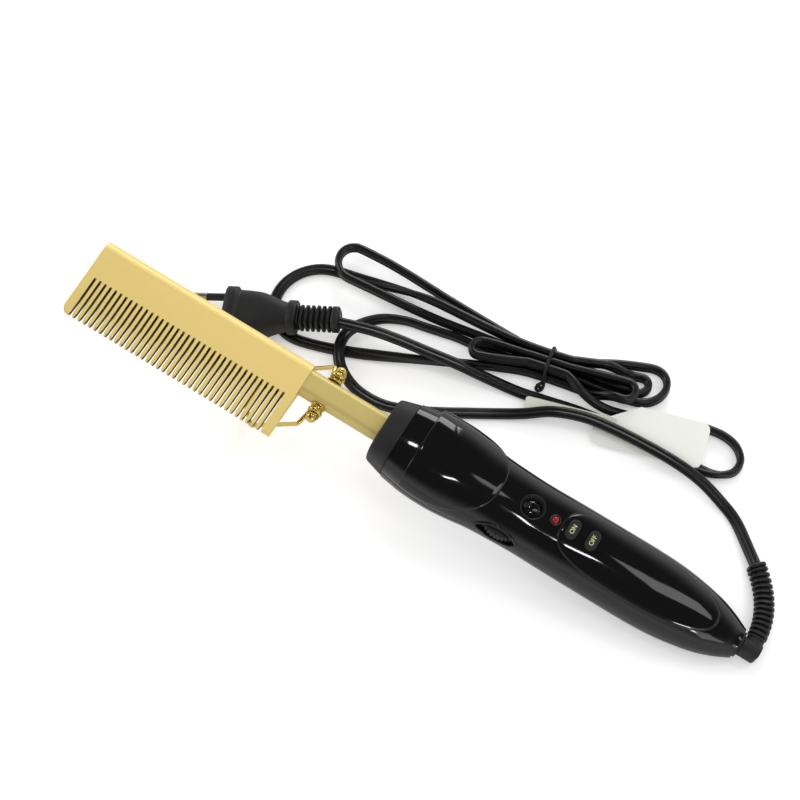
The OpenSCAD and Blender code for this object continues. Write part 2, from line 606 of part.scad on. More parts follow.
// A short round block cut off at a slant, with its outlet on the far side
module swivel_elbow() color([0.13, 0.13, 0.14]) placed() difference() {
    union() {
        rod_x(elbow_r, elbow_x, elbow_x + elbow_len);
        translate([outlet_x, 0, 0]) rod_y(4, 0, outlet_y);
    }
    rod_x(core_r + 0.02, elbow_x - 1, elbow_x + 3.1);
    translate([elbow_x + elbow_len, -elbow_r, 0]) rotate([0, 0, -30])
        translate([-1.2, -6, -6]) cube([8, 12, 12]);
}

// A ribbed sleeve swept along points: rows of [place along it, half width, half height]
module ribbed(rows, at, sides) loft([for (q = rows) let (f = at(q[0]))
    [for (j = [0 : sides - 1]) let (a = 360 * j / sides)
        f[0] + f[1] * q[1] * cos(a) + f[2] * q[2] * sin(a)]]);
// Rows for ribs of equal pitch between two plain ends
function ribs(count, from, to, core, rib) =
    let (pitch = (to - from) / count)
    [for (i = [0 : count - 1]) for (k = [[0.18, core], [0.3, rib], [0.78, rib], [0.9, core]])
        [from + (i + k[0]) * pitch, k[1][0], k[1][1]]];

boot_r = 4.4;
boot_len = 38;
boot_bend = 45;      // radius of the boot's sweep towards the cord
boot_ribs = 13;
boot_turn = boot_len / boot_bend * 180 / PI;
boot_end_x = outlet_x - boot_bend * (1 - cos(boot_turn));
// The boot dips until its far end lies on the surface
boot_end_z = (boot_r + 0.1 - axis_z + boot_end_x * sin(tilt)) / cos(tilt);
// Place and two cross directions at a distance along the boot
function boot_at(s) = let (a = s / boot_bend * 180 / PI, t = s / boot_len)
    [[outlet_x - boot_bend * (1 - cos(a)), outlet_y + boot_bend * sin(a),
        boot_end_z * t * t * (3 - 2 * t)],
        [cos(a), sin(a), 0], [0, 0, 1]];
module cord_boot() color([0.12, 0.12, 0.12]) placed() ribbed(concat(
    [[0.05, 3.9, 3.9], [1.2, 3.9, 3.9]],
    ribs(boot_ribs, 1.2, boot_len - 1.6, [3.1, 3.1], [boot_r, boot_r]),
    [[boot_len - 1.6, 4.2, 4.2], [boot_len, 4.2, 4.2]]), function(s) boot_at(s), 12);

// --- plug -------------------------------------------------------------------

plug_place = [-125, 35];
plug_turn = 22;
plug_lift = 8;       // the plug leans on the strand of cord that passes under its collar
plug_t = 13.7;
plug_w = 27;
pin_spacing = 18.6;
pin_len = 19;
sleeve_len = 10;
pin_r = 2;
sleeve_r = 1.8;
pin_lean = 1.66;     // the pins' tips stand a little closer than their roots
boot_from = 35;      // where the plug's boot starts, from the plug's face
boot_to = 55;
plug_z = 0.05 + plug_t / 2 * cos(plug_lift) - 0.7 * sin(plug_lift);
module plug_placed() translate([plug_place[0], plug_place[1], plug_z])
    rotate([0, -plug_lift, plug_turn]) children();
module at_pins() for (s = [-1, 1])
    translate([0, s * pin_spacing / 2, 0]) rotate([0, 0, s * pin_lean]) children();
// Flanged front that narrows in a smooth shoulder to the collar
module plug_body() color([0.1, 0.1, 0.1]) plug_placed() difference() {
    w = plug_w / 2;
    h = plug_t / 2;
    loft([for (q = [[0, -0.9, -0.7, 4], [0.7, 0, 0, 4], [5.6, 0, 0, 4], [6.4, -0.7, -0.6, 4],
            [7, -1.3, -1, 3.6], [12, -1.5, -0.8, 3.4], [17, -2, -0.6, 3.2], [21, -3.2, -0.7, 3],
            [25, -5, -0.9, 2.8], [28, -6, -1.2, 2.6], [31, -6.3, -1.4, 2.5], [31.2, -5.3, -0.9, 2.5],
            [34.8, -5.3, -0.9, 2.5], [boot_from, -5.6, -1.2, 2.5]])
        full_section(q[0], w + q[1], h + q[2], q[3], 32)]);
    at_pins() rod_x(sleeve_r + fit, -1, 6);
}
module pin_sleeves() color([0.08, 0.08, 0.08]) plug_placed() at_pins() difference() {
    rod_x(sleeve_r, -sleeve_len, 5.8);
    rod_x(1.5 + fit, -sleeve_len - 1, 7);
}
module plug_pins() color("silver") plug_placed() at_pins() {
    rod_x(1.5, -sleeve_len - 1, 5.8);
    rod_x(pin_r, 1 - pin_len, -sleeve_len);
    translate([1 - pin_len, 0, 0]) rotate([0, -90, 0]) cylinder(r1 = pin_r, r2 = 1.1, h = 1);
}
module plug_boot() color([0.1, 0.1, 0.1]) plug_placed() ribbed(concat(
    [[boot_from + 0.05, 5, 4.6], [boot_from + 1, 5, 4.6]],
    ribs(6, boot_from + 1, boot_to - 2.4, [3.6, 3], [5.6, 4.7]),
    [[boot_to - 2.4, 5.6, 4.7], [boot_to, 5.6, 4.7]]),
    function(s) [[s, 0, 0], [0, 1, 0], [0, 0, 1]], 12);

// --- cord -------------------------------------------------------------------

cord_w = 5.5;        // flat twin cord: width and thickness
cord_t = 3.4;
core_off = (cord_w - cord_t) / 2;     // from the cord's middle to the middle of each lead
strand_gap = 0.5;
tie_t = 0.85;
tie_place = [19, 87];
tie_turn = 9;
// A strand of the hank is [along the hank, across it, lift above the surface, roll]
function tied(p) = concat(tie_place + turned([p[0], p[1]], tie_turn), [p[2], p[3]]);
// Lift above where the cord would rest at that roll, made a height
function lifted(p) = [p[0], p[1], p[2] + cord_t / 2 + 0.05 + core_off * sin(p[3]), p[3]];
// Seven strands stand on edge in the tie: place across, and layer
strand_step = cord_t + strand_gap;
layer_step = cord_w + 0.45;
strands = [for (q = [[-0.5, 0], [1.5, 0], [0.5, 0], [1, 1], [-1.5, 0], [0, 1], [-1, 1]])
    [q[0] * strand_step, tie_t + 0.1 + q[1] * layer_step]];
tied_half = 8;       // half the length that runs straight through the tie
// Loops by turns on each side of the tie: side, reach, slant in degrees, half width, lift of
// the first and the second leg's end, and roll at the tip
loops = [
    [1, 54, 8.3, 9.5, 0, 0, 90],
    [-1, 112, 8.6, 8.5, 4, 4, 90],
    [1, 46, 5.4, 4.2, 0, 0, 90],
    [-1, 133, -3, 20.5, 0, 0, 0],
    [1, 42, 1, 4.5, 7, 7, 90],
    [-1, 36, -7, 4, 7, 7, 90]];
leg_rings = 7;
tip_rings = 9;
// A loop leaves on one strand's place, swells to its width, turns and comes back on the next
function loop_leg(q, from, mid, swell, lift, f) =
    let (bend_at = q[1] - q[3], along = tied_half + (bend_at - tied_half) * f,
        g = pow(sin(90 * f), 1.4), late = ease((f - 0.45) / 0.45))
    [q[0] * along, mid + (from[0] - mid) * (1 - g) + (along - tied_half) * tan(q[2]) + swell * q[3] * g,
        from[1] + (lift - from[1]) * late, 90 + (q[6] - 90) * late];
function hank_loop(k) =
    let (q = loops[k], from = strands[k], to = strands[k + 1], mid = (from[0] + to[0]) / 2,
        swell = from[0] > to[0] ? 1 : -1)
    concat(
        [for (i = [0 : leg_rings]) loop_leg(q, from, mid, swell, q[4], i / (leg_rings + 1))],
        [for (i = [0 : tip_rings - 1]) let (a = 90 - 180 * i / (tip_rings - 1),
                along = q[1] - q[3] + q[3] * cos(a))
            [q[0] * along, mid + (along - tied_half) * tan(q[2]) + swell * q[3] * sin(a),
                q[4] + (q[5] - q[4]) * i / (tip_rings - 1), q[6]]],
        [for (i = [leg_rings : -1 : 0]) loop_leg(q, to, mid, -swell, q[5], i / (leg_rings + 1))]);
hank_in = [[-52, 0.2, 0, 90], [-46, 0.2, 0, 90], [-38, -0.6, 0, 90], [-28, -1.5, 0.3, 90],
    [-18, strands[0][0], 0.8, 90], [-tied_half, strands[0][0], strands[0][1], 90]];
hank_out = [[tied_half, strands[6][0], strands[6][1], 90], [11, -4.6, strands[6][1], 90],
    [15, -7, 6.9, 90], [20, -10, 6, 90], [27, -11.4, 2.8, 90], [35, -11.2, 0.6, 90],
    [46, -9.9, 0, 90], [52, -8.6, 0, 90]];
hank = [for (p = concat(hank_in, [for (k = [0 : 5]) each hank_loop(k)], hank_out)) lifted(tied(p))];

// Middles of the cord's two leads at each ring, and the least gap of the hank to itself
function cores(p) = [for (i = [0 : len(p) - 1])
    let (a = p[max(i - 1, 0)], b = p[min(i + 1, len(p) - 1)],
        run = unit([b[0] - a[0], b[1] - a[1], b[2] - a[2]]), flat = unit(cross([0, 0, 1], run)),
        off = (flat * cos(p[i][3]) + cross(run, flat) * sin(p[i][3])) * core_off,
        at = [p[i][0], p[i][1], p[i][2]])
    [at - off, at + off]];
function to_segment(p, a, b) =
    let (d = b - a, t = min(max((p - a) * d / (d * d), 0), 1)) norm(p - a - d * t);
function least_gap(c, near) = min([for (i = [0 : len(c) - 1]) for (j = [0 : len(c) - 2])
    if (abs(i - j - 0.5) > near) for (m = [0, 1]) for (n = [0, 1])
        to_segment(c[i][m], c[j][n], c[j + 1][n])]) - cord_t;

// Free stretches: [x, y, lift, roll]; the lead comes from the handle, the tail goes to the plug
hank_start = tied(hank_in[0]);
hank_end = tied(hank_out[len(hank_out) - 1]);
boot_tip = boot_at(boot_len)[0];
lead_start = tool_place + [boot_tip[0] * cos(tilt) + boot_tip[2] * sin(tilt), boot_tip[1],
    boot_tip[2] * cos(tilt) - boot_tip[0] * sin(tilt)];
lead_route = concat([[lead_start[0] - 0.55, lead_start[1] + 0.55, boot_r - cord_t / 2, 0]], [
    [141, 49, 1.5, 0], [129, 60, 0, 0], [119, 65, 0.9, 0], [106, 68.5, 4.5, 0], [92, 70.5, 5.8, 0],
    [76, 71.5, 5.8, 0], [60, 71.5, 5.8, 0], [46, 70.2, 5.8, 0], [32, 66, 4.9, 0], [20, 60, 1.5, 0],
    [8, 54, 0, 0], [-3, 48, 0, 0], [-14, 42, 0, 0], [-27, 36, 0, 0], [-40, 32.5, 0, 0],
    [-53, 33, 1.5, 0], [-63, 37.5, 4.1, 0], [-69, 45, 4.5, 0], [-71, 54, 3.8, 20],
    [-68, 63.5, 1.4, 50], [-61, 71.5, 0.2, 75], [-51, 76, 0, 90], [-42, 77.5, 0, 90]],
    [hank_start]);
plug_end = [plug_place[0] + (boot_to + 0.05) * cos(plug_lift) * cos(plug_turn),
    plug_place[1] + (boot_to + 0.05) * cos(plug_lift) * sin(plug_turn),
    plug_z + (boot_to + 0.05) * sin(plug_lift) - cord_t / 2 - 0.05];
tail_route = concat([hank_end], [
    [78.7, 89.3, 0, 90], [86.5, 92.5, 0, 90], [96, 95, 0, 90], [105, 95.6, 0, 90],
    [112.5, 93.2, 0, 90], [117.2, 87.6, 0, 90], [116.6, 80.8, 0, 85], [110, 76.3, 0, 50],
    [101, 75.3, 0, 15], [88, 75.3, 0, 0], [72, 75.6, 0, 0], [56, 75.6, 0, 0], [40, 74.2, 0, 0],
    [26, 71.8, 0, 0], [12, 69.3, 0.5, 0], [-3, 67.3, 2.9, 0], [-18, 65.4, 5.9, 0],
    [-33, 63.6, 7.1, 0], [-48, 61.4, 9.1, 0], [-61, 58.4, 11, 0]],
    [for (back = [7, 0]) concat(plug_end - back * [cos(plug_turn), sin(plug_turn), sin(plug_lift)],
        [0])]);
module flat_cord(route) color([0.09, 0.09, 0.09])
    tube([for (p = smooth(route, 2)) lifted(p)], cord_w, cord_t, 8);
module cord_lead() flat_cord(lead_route);
module cord_tail() flat_cord(tail_route);
// One unbroken strand: three loops on each side of the tie
module cord_bundle() color([0.08, 0.08, 0.08]) {
    echo(least_gap_of_the_hank_to_itself = least_gap(cores(hank), tip_rings));
    tube(hank, cord_w, cord_t, 6);
}
// A wire tie round the seven strands, with its two ends
module cord_tie() color("black") translate(tie_place) rotate([0, 0, tie_turn]) {
    low = 1.5 * strand_step + cord_t / 2 + 0.1;
    high = strand_step + cord_t / 2 + 0.1;
    shoulder = tie_t + 0.1 + cord_w + 0.1;
    top = shoulder + layer_step;
    translate([1.1, 0, 0]) rotate([0, -90, 0]) linear_extrude(2.2) difference() {
        polygon([[0.05, -low - 0.6], [0.5, -low - tie_t], [shoulder + 0.3, -low - tie_t],
            [top + 0.4, -high - 0.7], [top + tie_t, -high + 0.4], [top + tie_t, high - 0.4],
            [top + 0.4, high + 0.7], [shoulder + 0.3, low + tie_t], [0.5, low + tie_t],
            [0.05, low + 0.6]]);
        polygon([[tie_t + 0.05, -low], [shoulder, -low], [top, -high], [top, high],
            [shoulder, low], [tie_t + 0.05, low]]);
    }
    for (s = [0, 1]) translate([0.9 - s * 1.8, -low - tie_t + 0.2, 2.2 + s]) rotate([90, 0, s * 40 - 20])
        cylinder(r = 0.7, h = 4.5 - s, $fn = 16);
}
// Blank warning tag: a clear strap that wraps the tail, and a white leaf
tag_place = [17, 65.5];
tag_t = 0.3;
module cord_tag() color("white") translate([tag_place[0], tag_place[1], 3.9])
    rotate([0, 0, 13]) rotate([11.3, -1.43, 0]) linear_extrude(tag_t)
        polygon([[1, -2], [30, -2], [34, -11], [81, -11], [84.5, -9.8], [86, -6.5], [86, 7],
            [84.5, 10], [81, 11], [53, 11], [40, 2.8], [1, 2.8]]);

comb_plate();
heater_rod();
neck_insert();
neck_tube();
stand_stud();
stand_lock_nuts();
stand_wire();
stand_acorn_nuts();
collar();
heat_bush();
upper_shell();
lower_shell();
front_hood();
top_panel();
window_bezel();
dial_window();
power_lamp();
lamp_ring();
on_button();
on_plunger();
off_button();
off_plunger();
dial_wheel();
dial_hub();
dial_potentiometer();
circuit_board();
button_switches();
board_capacitor();
power_triac();
thermal_fuse();
board_resistors();
board_screws();
shell_screws();
heater_leads();
supply_leads();
contact_block();
contact_springs();
tail_socket();
swivel_core();
swivel_elbow();
cord_boot();
plug_body();
pin_sleeves();
plug_pins();
plug_boot();
cord_lead();
cord_bundle();
cord_tail();
cord_tie();
cord_tag();
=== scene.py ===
"""Finishes an electric hot comb round its fixed frame of parts: gold comb and stand, glossy
handle with its controls, and the flat twin cord in its tied hank. Lengths in the helper
functions are millimetres in the tool's own frame; routes and properties are metres."""

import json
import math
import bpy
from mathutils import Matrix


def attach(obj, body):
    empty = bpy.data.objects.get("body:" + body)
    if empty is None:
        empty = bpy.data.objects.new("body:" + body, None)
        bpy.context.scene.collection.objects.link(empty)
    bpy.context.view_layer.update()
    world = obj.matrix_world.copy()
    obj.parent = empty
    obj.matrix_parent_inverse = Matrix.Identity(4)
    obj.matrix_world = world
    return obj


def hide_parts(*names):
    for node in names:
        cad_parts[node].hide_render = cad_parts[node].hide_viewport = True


bl_info = {
    "name": "Hot comb",
    "version": (1, 0, 0),
    "blender": (4, 5, 0),
    "location": "3D View > Sidebar > Hot comb",
    "description": "Finishes an electric hot comb round its fixed frame of parts",
    "category": "Object",
}

import bmesh
import bpy
from bpy.props import FloatProperty, FloatVectorProperty, PointerProperty
from bpy.types import Operator, Panel, PropertyGroup
from mathutils import Matrix, Vector

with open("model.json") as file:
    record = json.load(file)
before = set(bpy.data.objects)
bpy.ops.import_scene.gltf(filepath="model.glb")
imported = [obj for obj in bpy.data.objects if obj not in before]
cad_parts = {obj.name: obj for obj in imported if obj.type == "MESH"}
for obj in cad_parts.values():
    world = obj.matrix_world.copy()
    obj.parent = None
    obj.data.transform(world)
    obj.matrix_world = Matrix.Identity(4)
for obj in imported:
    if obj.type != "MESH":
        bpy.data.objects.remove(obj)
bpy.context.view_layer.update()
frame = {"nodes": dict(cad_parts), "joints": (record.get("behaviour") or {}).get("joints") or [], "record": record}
NODES = frame["nodes"]
JOINTS = {joint["name"]: joint for joint in frame["joints"]}
SLOT_OF = {part["node"]: part["material_slot"] for part in frame["record"]["subparts"]}
BODY_OF = {node: body for body, nodes in frame["record"]["behaviour"]["bodies"].items()
           for node in nodes}
MM = 0.001

# Sizes of the tool in millimetres, with places along it from the comb's front end
TILT = math.radians(10)
COMB_LEN = 107.0
CREASE_Y = 4.4
CREASE_HALF = 0.35
CREASE_DEPTH = 0.12
NECK_W = 13.5
NECK_T = 8.0
NECK_WALL = 0.75
PIVOT_X = 117.7
COLLAR_X = 146.7
HANDLE_X = 156.6
HANDLE_LEN = 170.4
TAIL_R = 7.2
SOCKET_R = 6.1
SOCKET_LEN = 6.5
SHELL_WALL = 2.0
SEAM_GROOVE = 0.22
OUTLET_X = 333.0
OUTLET_Y = 5.2


def tool_matrix():
    """From the tool's own frame in millimetres to the row frame in metres."""
    turn = Matrix.Rotation(TILT, 4, "Y")
    front = Vector(JOINTS["stand_pivot"]["pos_m"]) - turn @ Vector((PIVOT_X * MM, 0, 0))
    return Matrix.Translation(front) @ turn @ Matrix.Scale(MM, 4)


TOOL = tool_matrix()


# --- what a user would change ---------------------------------------------------------------

def length(label, text, value):
    """A length property in metres."""
    return FloatProperty(name=label, description=text, default=value, subtype="DISTANCE", unit="LENGTH")


def colour(label, text, red, green, blue):
    """A colour property from plain 0-255 screen values."""
    return FloatVectorProperty(name=label, description=text, default=screen(red, green, blue),
                               subtype="COLOR", size=3, min=0, max=1)


def screen(red, green, blue):
    """Screen values from 0 to 255 as a linear colour."""
    return tuple((c / 255 / 12.92) if c < 11 else ((c / 255 + 0.055) / 1.055) ** 2.4
                 for c in (red, green, blue))


class HotCombSizes(PropertyGroup):
    hood_width: length("Hood width", "Width of the handle across the hood", 0.0408)
    waist_width: length("Waist width", "Width of the handle by the thumbwheel", 0.0348)
    grip_width: length("Grip width", "Width of the grip", 0.0354)
    grip_height: length("Grip height", "Height of the grip", 0.028)
    hood_rise: length("Hood rise", "How far the hood stands proud of the shell", 0.0014)
    panel_rise: length("Panel rise", "How far the inlay stands proud of the shell", 0.0006)
    edge_round: length("Edge rounding", "Radius worn on the edges of metal pieces", 0.0002)


class HotCombColours(PropertyGroup):
    comb: colour("Comb", "Satin gold of the comb plate", 244, 216, 132)
    neck: colour("Neck", "Greener gold of the neck tube", 214, 194, 118)
    wire: colour("Wire", "Polished gold of the stand and its nuts", 226, 196, 108)
    gloss: colour("Gloss black", "Moulded handle", 7, 8, 7)
    matt: colour("Matt black", "Collar and buttons", 15, 16, 16)
    lettering: colour("Lettering", "Words on the buttons", 228, 230, 160)
    lamp: colour("Lamp", "Red lens of the lamp", 158, 14, 20)
    tag: colour("Tag", "Blank tag on the cord", 250, 251, 244)


# --- materials ------------------------------------------------------------------------------

def add_node(tree, kind, values=(), **settings):
    """A new node with its settings, and values for its inputs by label or by place."""
    node = tree.nodes.new(kind)
    for key, value in settings.items():
        setattr(node, key, value)
    for key, value in dict(values).items():
        node.inputs[key].default_value = value
    return node


def link(tree, *pairs):
    """Links pairs of sockets, from an output to an input."""
    for start, end in pairs:
        tree.links.new(start, end)


def grain_group():
    """Fine grain and broad cloudiness: a colour between two tones, a roughness and a height."""
    name = "Surface grain"
    if name in bpy.data.node_groups:
        return bpy.data.node_groups[name]
    group = bpy.data.node_groups.new(name, "ShaderNodeTree")
    for label, value in (("Light tone", (0.5, 0.5, 0.5, 1)), ("Dark tone", (0.4, 0.4, 0.4, 1)),
                         ("Grain size", 2500.0), ("Stretch", 1.0), ("Cloud size", 40.0),
                         ("Roughness", 0.4), ("Roughness spread", 0.1)):
        kind = "NodeSocketFloat" if isinstance(value, float) else "NodeSocketColor"
        socket = group.interface.new_socket(name=label, in_out="INPUT", socket_type=kind)
        socket.default_value = value
    for label, kind in (("Color", "NodeSocketColor"), ("Roughness", "NodeSocketFloat"),
                        ("Height", "NodeSocketFloat")):
        group.interface.new_socket(name=label, in_out="OUTPUT", socket_type=kind)
    fine_share = 0.4
    given = add_node(group, "NodeGroupInput").outputs
    out = add_node(group, "NodeGroupOutput").inputs
    place = add_node(group, "ShaderNodeTexCoord").outputs["Object"]
    scale = add_node(group, "ShaderNodeCombineXYZ", {"Y": 1, "Z": 1})
    mapping = add_node(group, "ShaderNodeMapping")
    fine = add_node(group, "ShaderNodeTexNoise", {"Detail": 3})
    cloud = add_node(group, "ShaderNodeTexNoise", {"Detail": 2})
    rest = add_node(group, "ShaderNodeMath", {1: 1 - fine_share}, operation="MULTIPLY")
    mask = add_node(group, "ShaderNodeMath", {1: fine_share}, operation="MULTIPLY_ADD")
    tone = add_node(group, "ShaderNodeMix", data_type="RGBA")
    off = add_node(group, "ShaderNodeMath", {1: 0.5}, operation="SUBTRACT")
    rough = add_node(group, "ShaderNodeMath", operation="MULTIPLY_ADD")
    link(group, (given["Stretch"], scale.inputs["X"]), (place, mapping.inputs["Vector"]),
         (scale.outputs["Vector"], mapping.inputs["Scale"]),
         (mapping.outputs["Vector"], fine.inputs["Vector"]), (given["Grain size"], fine.inputs["Scale"]),
         (place, cloud.inputs["Vector"]), (given["Cloud size"], cloud.inputs["Scale"]),
         (fine.outputs["Fac"], mask.inputs[0]), (cloud.outputs["Fac"], rest.inputs[0]),
         (rest.outputs[0], mask.inputs[2]), (mask.outputs[0], tone.inputs["Factor"]),
         (given["Light tone"], tone.inputs["A"]), (given["Dark tone"], tone.inputs["B"]),
         (tone.outputs["Result"], out["Color"]), (mask.outputs[0], off.inputs[0]),
         (off.outputs[0], rough.inputs[0]), (given["Roughness spread"], rough.inputs[1]),
         (given["Roughness"], rough.inputs[2]), (rough.outputs[0], out["Roughness"]),
         (fine.outputs["Fac"], out["Height"]))
    return group


def grained(name, tone, roughness, grain=2500.0, cloud=40.0, stretch=1.0, spread=0.1, depth=0.02,
            shade=0.82, **sockets):
    """A material whose tone, roughness and surface come from the grain group. Depth is in mm."""
    made = bpy.data.materials.new(name + "_finish")
    made.use_nodes = True
    tree = made.node_tree
    shader = tree.nodes["Principled BSDF"].inputs
    for label, value in sockets.items():
        shader[label.replace("_", " ")].default_value = value
    group = add_node(tree, "ShaderNodeGroup",
                     {"Light tone": (*tone, 1), "Dark tone": (*[c * shade for c in tone], 1),
                      "Grain size": grain, "Cloud size": cloud, "Stretch": stretch,
                      "Roughness": roughness, "Roughness spread": spread}, node_tree=grain_group())
    bump = add_node(tree, "ShaderNodeBump", {"Strength": 1, "Distance": depth * MM})
    link(tree, (group.outputs["Color"], shader["Base Color"]),
         (group.outputs["Roughness"], shader["Roughness"]),
         (group.outputs["Height"], bump.inputs["Height"]), (bump.outputs["Normal"], shader["Normal"]))
    return made


def comb_gold(name):
    """Satin gold with fine streaks along the plate, and the faint crease beside the spine."""
    made = grained(name, colours().comb, 0.42, grain=900, cloud=26, stretch=0.08,
                   spread=0.12, depth=0.006, shade=0.92, Metallic=0.2)
    tree = made.node_tree
    normal = tree.nodes["Principled BSDF"].inputs["Normal"]
    grain_bump = normal.links[0].from_node
    place = add_node(tree, "ShaderNodeTexCoord")
    split = add_node(tree, "ShaderNodeSeparateXYZ")
    away = add_node(tree, "ShaderNodeMath", {1: TOOL.translation.y + CREASE_Y * MM},
                    operation="SUBTRACT")
    size = add_node(tree, "ShaderNodeMath", operation="ABSOLUTE")
    rise = add_node(tree, "ShaderNodeMapRange", {"From Max": CREASE_HALF * MM},
                    interpolation_type="SMOOTHSTEP")
    bump = add_node(tree, "ShaderNodeBump", {"Strength": 0.5, "Distance": CREASE_DEPTH * MM})
    link(tree, (place.outputs["Object"], split.inputs[0]), (split.outputs["Y"], away.inputs[0]),
         (away.outputs[0], size.inputs[0]), (size.outputs[0], rise.inputs["Value"]),
         (rise.outputs["Result"], bump.inputs["Height"]),
         (grain_bump.outputs["Normal"], bump.inputs["Normal"]), (bump.outputs["Normal"], normal))
    return made


def plain(rgb, roughness, **more):
    """A finish with a tone of its own, in screen values."""
    return lambda name: grained(name, screen(*rgb), roughness, **more)


def chosen(key, roughness, **more):
    """A finish whose tone is one of the user's colours."""
    return lambda name: grained(name, getattr(colours(), key), roughness, **more)


def clear_lens(name):
    """Clear plastic tinted dark: painted shade for the unlit inside of the handle seen through it."""
    return grained(name, (0.2, 0.21, 0.2), 0.03, spread=0.02, depth=0.001, shade=0.9, IOR=1.49,
                   Transmission_Weight=1)


RECIPES = {
    "comb_gold": comb_gold,
    "neck_gold": chosen("neck", 0.42, grain=1200, stretch=0.06, depth=0.005, shade=0.88, Metallic=0.3),
    "polished_gold": chosen("wire", 0.17, cloud=160, depth=0.003, shade=0.8, Metallic=1.0),
    # Dark brown gold for the comb's slot walls: painted shade, where the slots lie in shadow.
    "slot_gold": plain((92, 70, 30), 0.6, Metallic=0.3),
    "steel": plain((190, 190, 188), 0.3, Metallic=1.0),
    "matt_black": chosen("matt", 0.52, grain=3200, shade=0.75),
    "gloss_black": chosen("gloss", 0.06, grain=2200, cloud=30, spread=0.05, depth=0.0004, shade=0.7),
    "ceramic": plain((222, 216, 200), 0.6, depth=0.03),
    # The window's dark tint is painted shade for the handle's unlit inside.
    "window_clear": clear_lens,
    "lamp_red": chosen("lamp", 0.12, depth=0.001, shade=0.7, Subsurface_Weight=0.1),
    "bright_ring": plain((86, 82, 82), 0.35, Metallic=1.0, depth=0.002),
    "grey_plastic": plain((92, 92, 96), 0.5),
    "brass_hub": plain((186, 148, 76), 0.35, Metallic=1.0),
    "blue_plastic": plain((52, 78, 132), 0.45),
    "board_green": plain((36, 96, 52), 0.4, grain=1500),
    "mustard": plain((188, 142, 44), 0.35),
    "tan": plain((198, 172, 132), 0.5),
    "lead_white": plain((226, 224, 214), 0.55),
    "lead_brown": plain((104, 66, 40), 0.5),
    "spring_bronze": plain((176, 122, 72), 0.3, Metallic=1.0),
    "cord_black": plain((8, 9, 10), 0.3, grain=1800, cloud=90, spread=0.16, depth=0.012, shade=0.6),
    "boot_black": plain((16, 18, 19), 0.46, grain=2600, cloud=70, shade=0.7),
    "plug_black": plain((11, 12, 12), 0.5, grain=3000, cloud=60, depth=0.03, shade=0.75),
    "pin_metal": plain((196, 190, 176), 0.2, Metallic=1.0, depth=0.002),
    "tag_white": chosen("tag", 0.45, grain=600, cloud=60, depth=0.006, shade=0.95),
    "clear_strap": plain((238, 240, 224), 0.3, cloud=120, depth=0.01, shade=0.9,
                         Transmission_Weight=0.15),
    "lettering": chosen("lettering", 0.45, depth=0.004, shade=0.9),
    "dial_print": plain((226, 226, 214), 0.5, depth=0.004),
}
FINISHES = {}


def material(name):
    """The finish of that name, made the first time it is asked for."""
    if name not in FINISHES:
        FINISHES[name] = RECIPES[name](name)
    return FINISHES[name]


def sizes():
    return bpy.context.scene.hot_comb_sizes


def colours():
    return bpy.context.scene.hot_comb_colours


# --- mesh helpers ---------------------------------------------------------------------------

def add_object(name, data):
    """A new object in the scene."""
    obj = bpy.data.objects.new(name, data)
    bpy.context.scene.collection.objects.link(obj)
    return obj


def mesh_from(name, bm):
    """A mesh made from a bmesh, which is used up."""
    mesh = bpy.data.meshes.new(name)
    bm.to_mesh(mesh)
    bm.free()
    return mesh


def circle(count, offset=0.0):
    """Angles of evenly spaced points round a whole turn."""
    return [2 * math.pi * (i + offset) / count for i in range(count)]


def between(a, b, c, d, t):
    """A smooth curve through b and c, with a and d on each side."""
    return [(2 * q + (r - p) * t + (2 * p - 5 * q + 4 * r - s) * t * t
             + (3 * q - p - 3 * r + s) * t ** 3) / 2 for p, q, r, s in zip(a, b, c, d)]


def smooth(points, steps):
    """A smooth curve through points, with so many steps from each to the next."""
    last = len(points) - 1
    curve = [between(points[max(i - 1, 0)], points[i], points[i + 1], points[min(i + 2, last)],
                     k / steps) for i in range(last) for k in range(steps)]
    return curve + [list(points[last])]


def grow(bm, ring, points):
    """Extrudes a closed ring of vertices to new places, and returns the new ring in order."""
    edges = [bm.edges.get((ring[i - 1], ring[i])) for i in range(len(ring))]
    made = bmesh.ops.extrude_edge_only(bm, edges=edges)["geom"]
    fresh = {item for item in made if isinstance(item, bmesh.types.BMVert)}
    follow = [next(e.other_vert(v) for e in v.link_edges if e.other_vert(v) in fresh) for v in ring]
    for vert, place in zip(follow, points):
        vert.co = place
    return follow


def first_ring(bm, points):
    """A closed ring of vertices joined by edges."""
    ring = [bm.verts.new(p) for p in points]
    for i in range(len(ring)):
        bm.edges.new((ring[i - 1], ring[i]))
    return ring


def loft(rings, strips=False):
    """A closed solid through rings of points. A ring that runs out and back has strip ends."""
    bm = bmesh.new()
    start = end = first_ring(bm, rings[0])
    for points in rings[1:]:
        end = grow(bm, end, points)
    for ring in (start, end):
        if strips:
            half = len(ring) // 2
            edges = [bm.edges.get((ring[i], ring[i + 1])) for i in range(len(ring) - 1)
                     if i != half - 1]
            bmesh.ops.bridge_loops(bm, edges=edges)
        else:
            bmesh.ops.contextual_create(bm, geom=ring)
    return bm


def lathe(profile, place, steps=64):
    """Spins a closed profile of [radius, height] round the upright line through a place."""
    bm = bmesh.new()
    ring = first_ring(bm, [(r, 0, z) for r, z in profile])
    edges = [bm.edges.get((ring[i - 1], ring[i])) for i in range(len(ring))]
    bmesh.ops.spin(bm, geom=ring + edges, axis=(0, 0, 1), cent=(0, 0, 0), angle=2 * math.pi,
                   steps=steps, use_merge=True)
    bmesh.ops.remove_doubles(bm, verts=bm.verts, dist=1e-4)
    flat = [f for f in bm.faces if f.calc_area() < 1e-9]
    bmesh.ops.delete(bm, geom=flat, context="FACES")
    bmesh.ops.translate(bm, vec=place, verts=bm.verts)
    return bm


def obround(l, w, z):
    """A ring of a long round outline: l along the tool, w across it."""
    half = (w - l) / 2
    return [(l / 2 * math.cos(a), l / 2 * math.sin(a) + math.copysign(half, math.sin(a)), z)
            for a in circle(48, 0.5)]


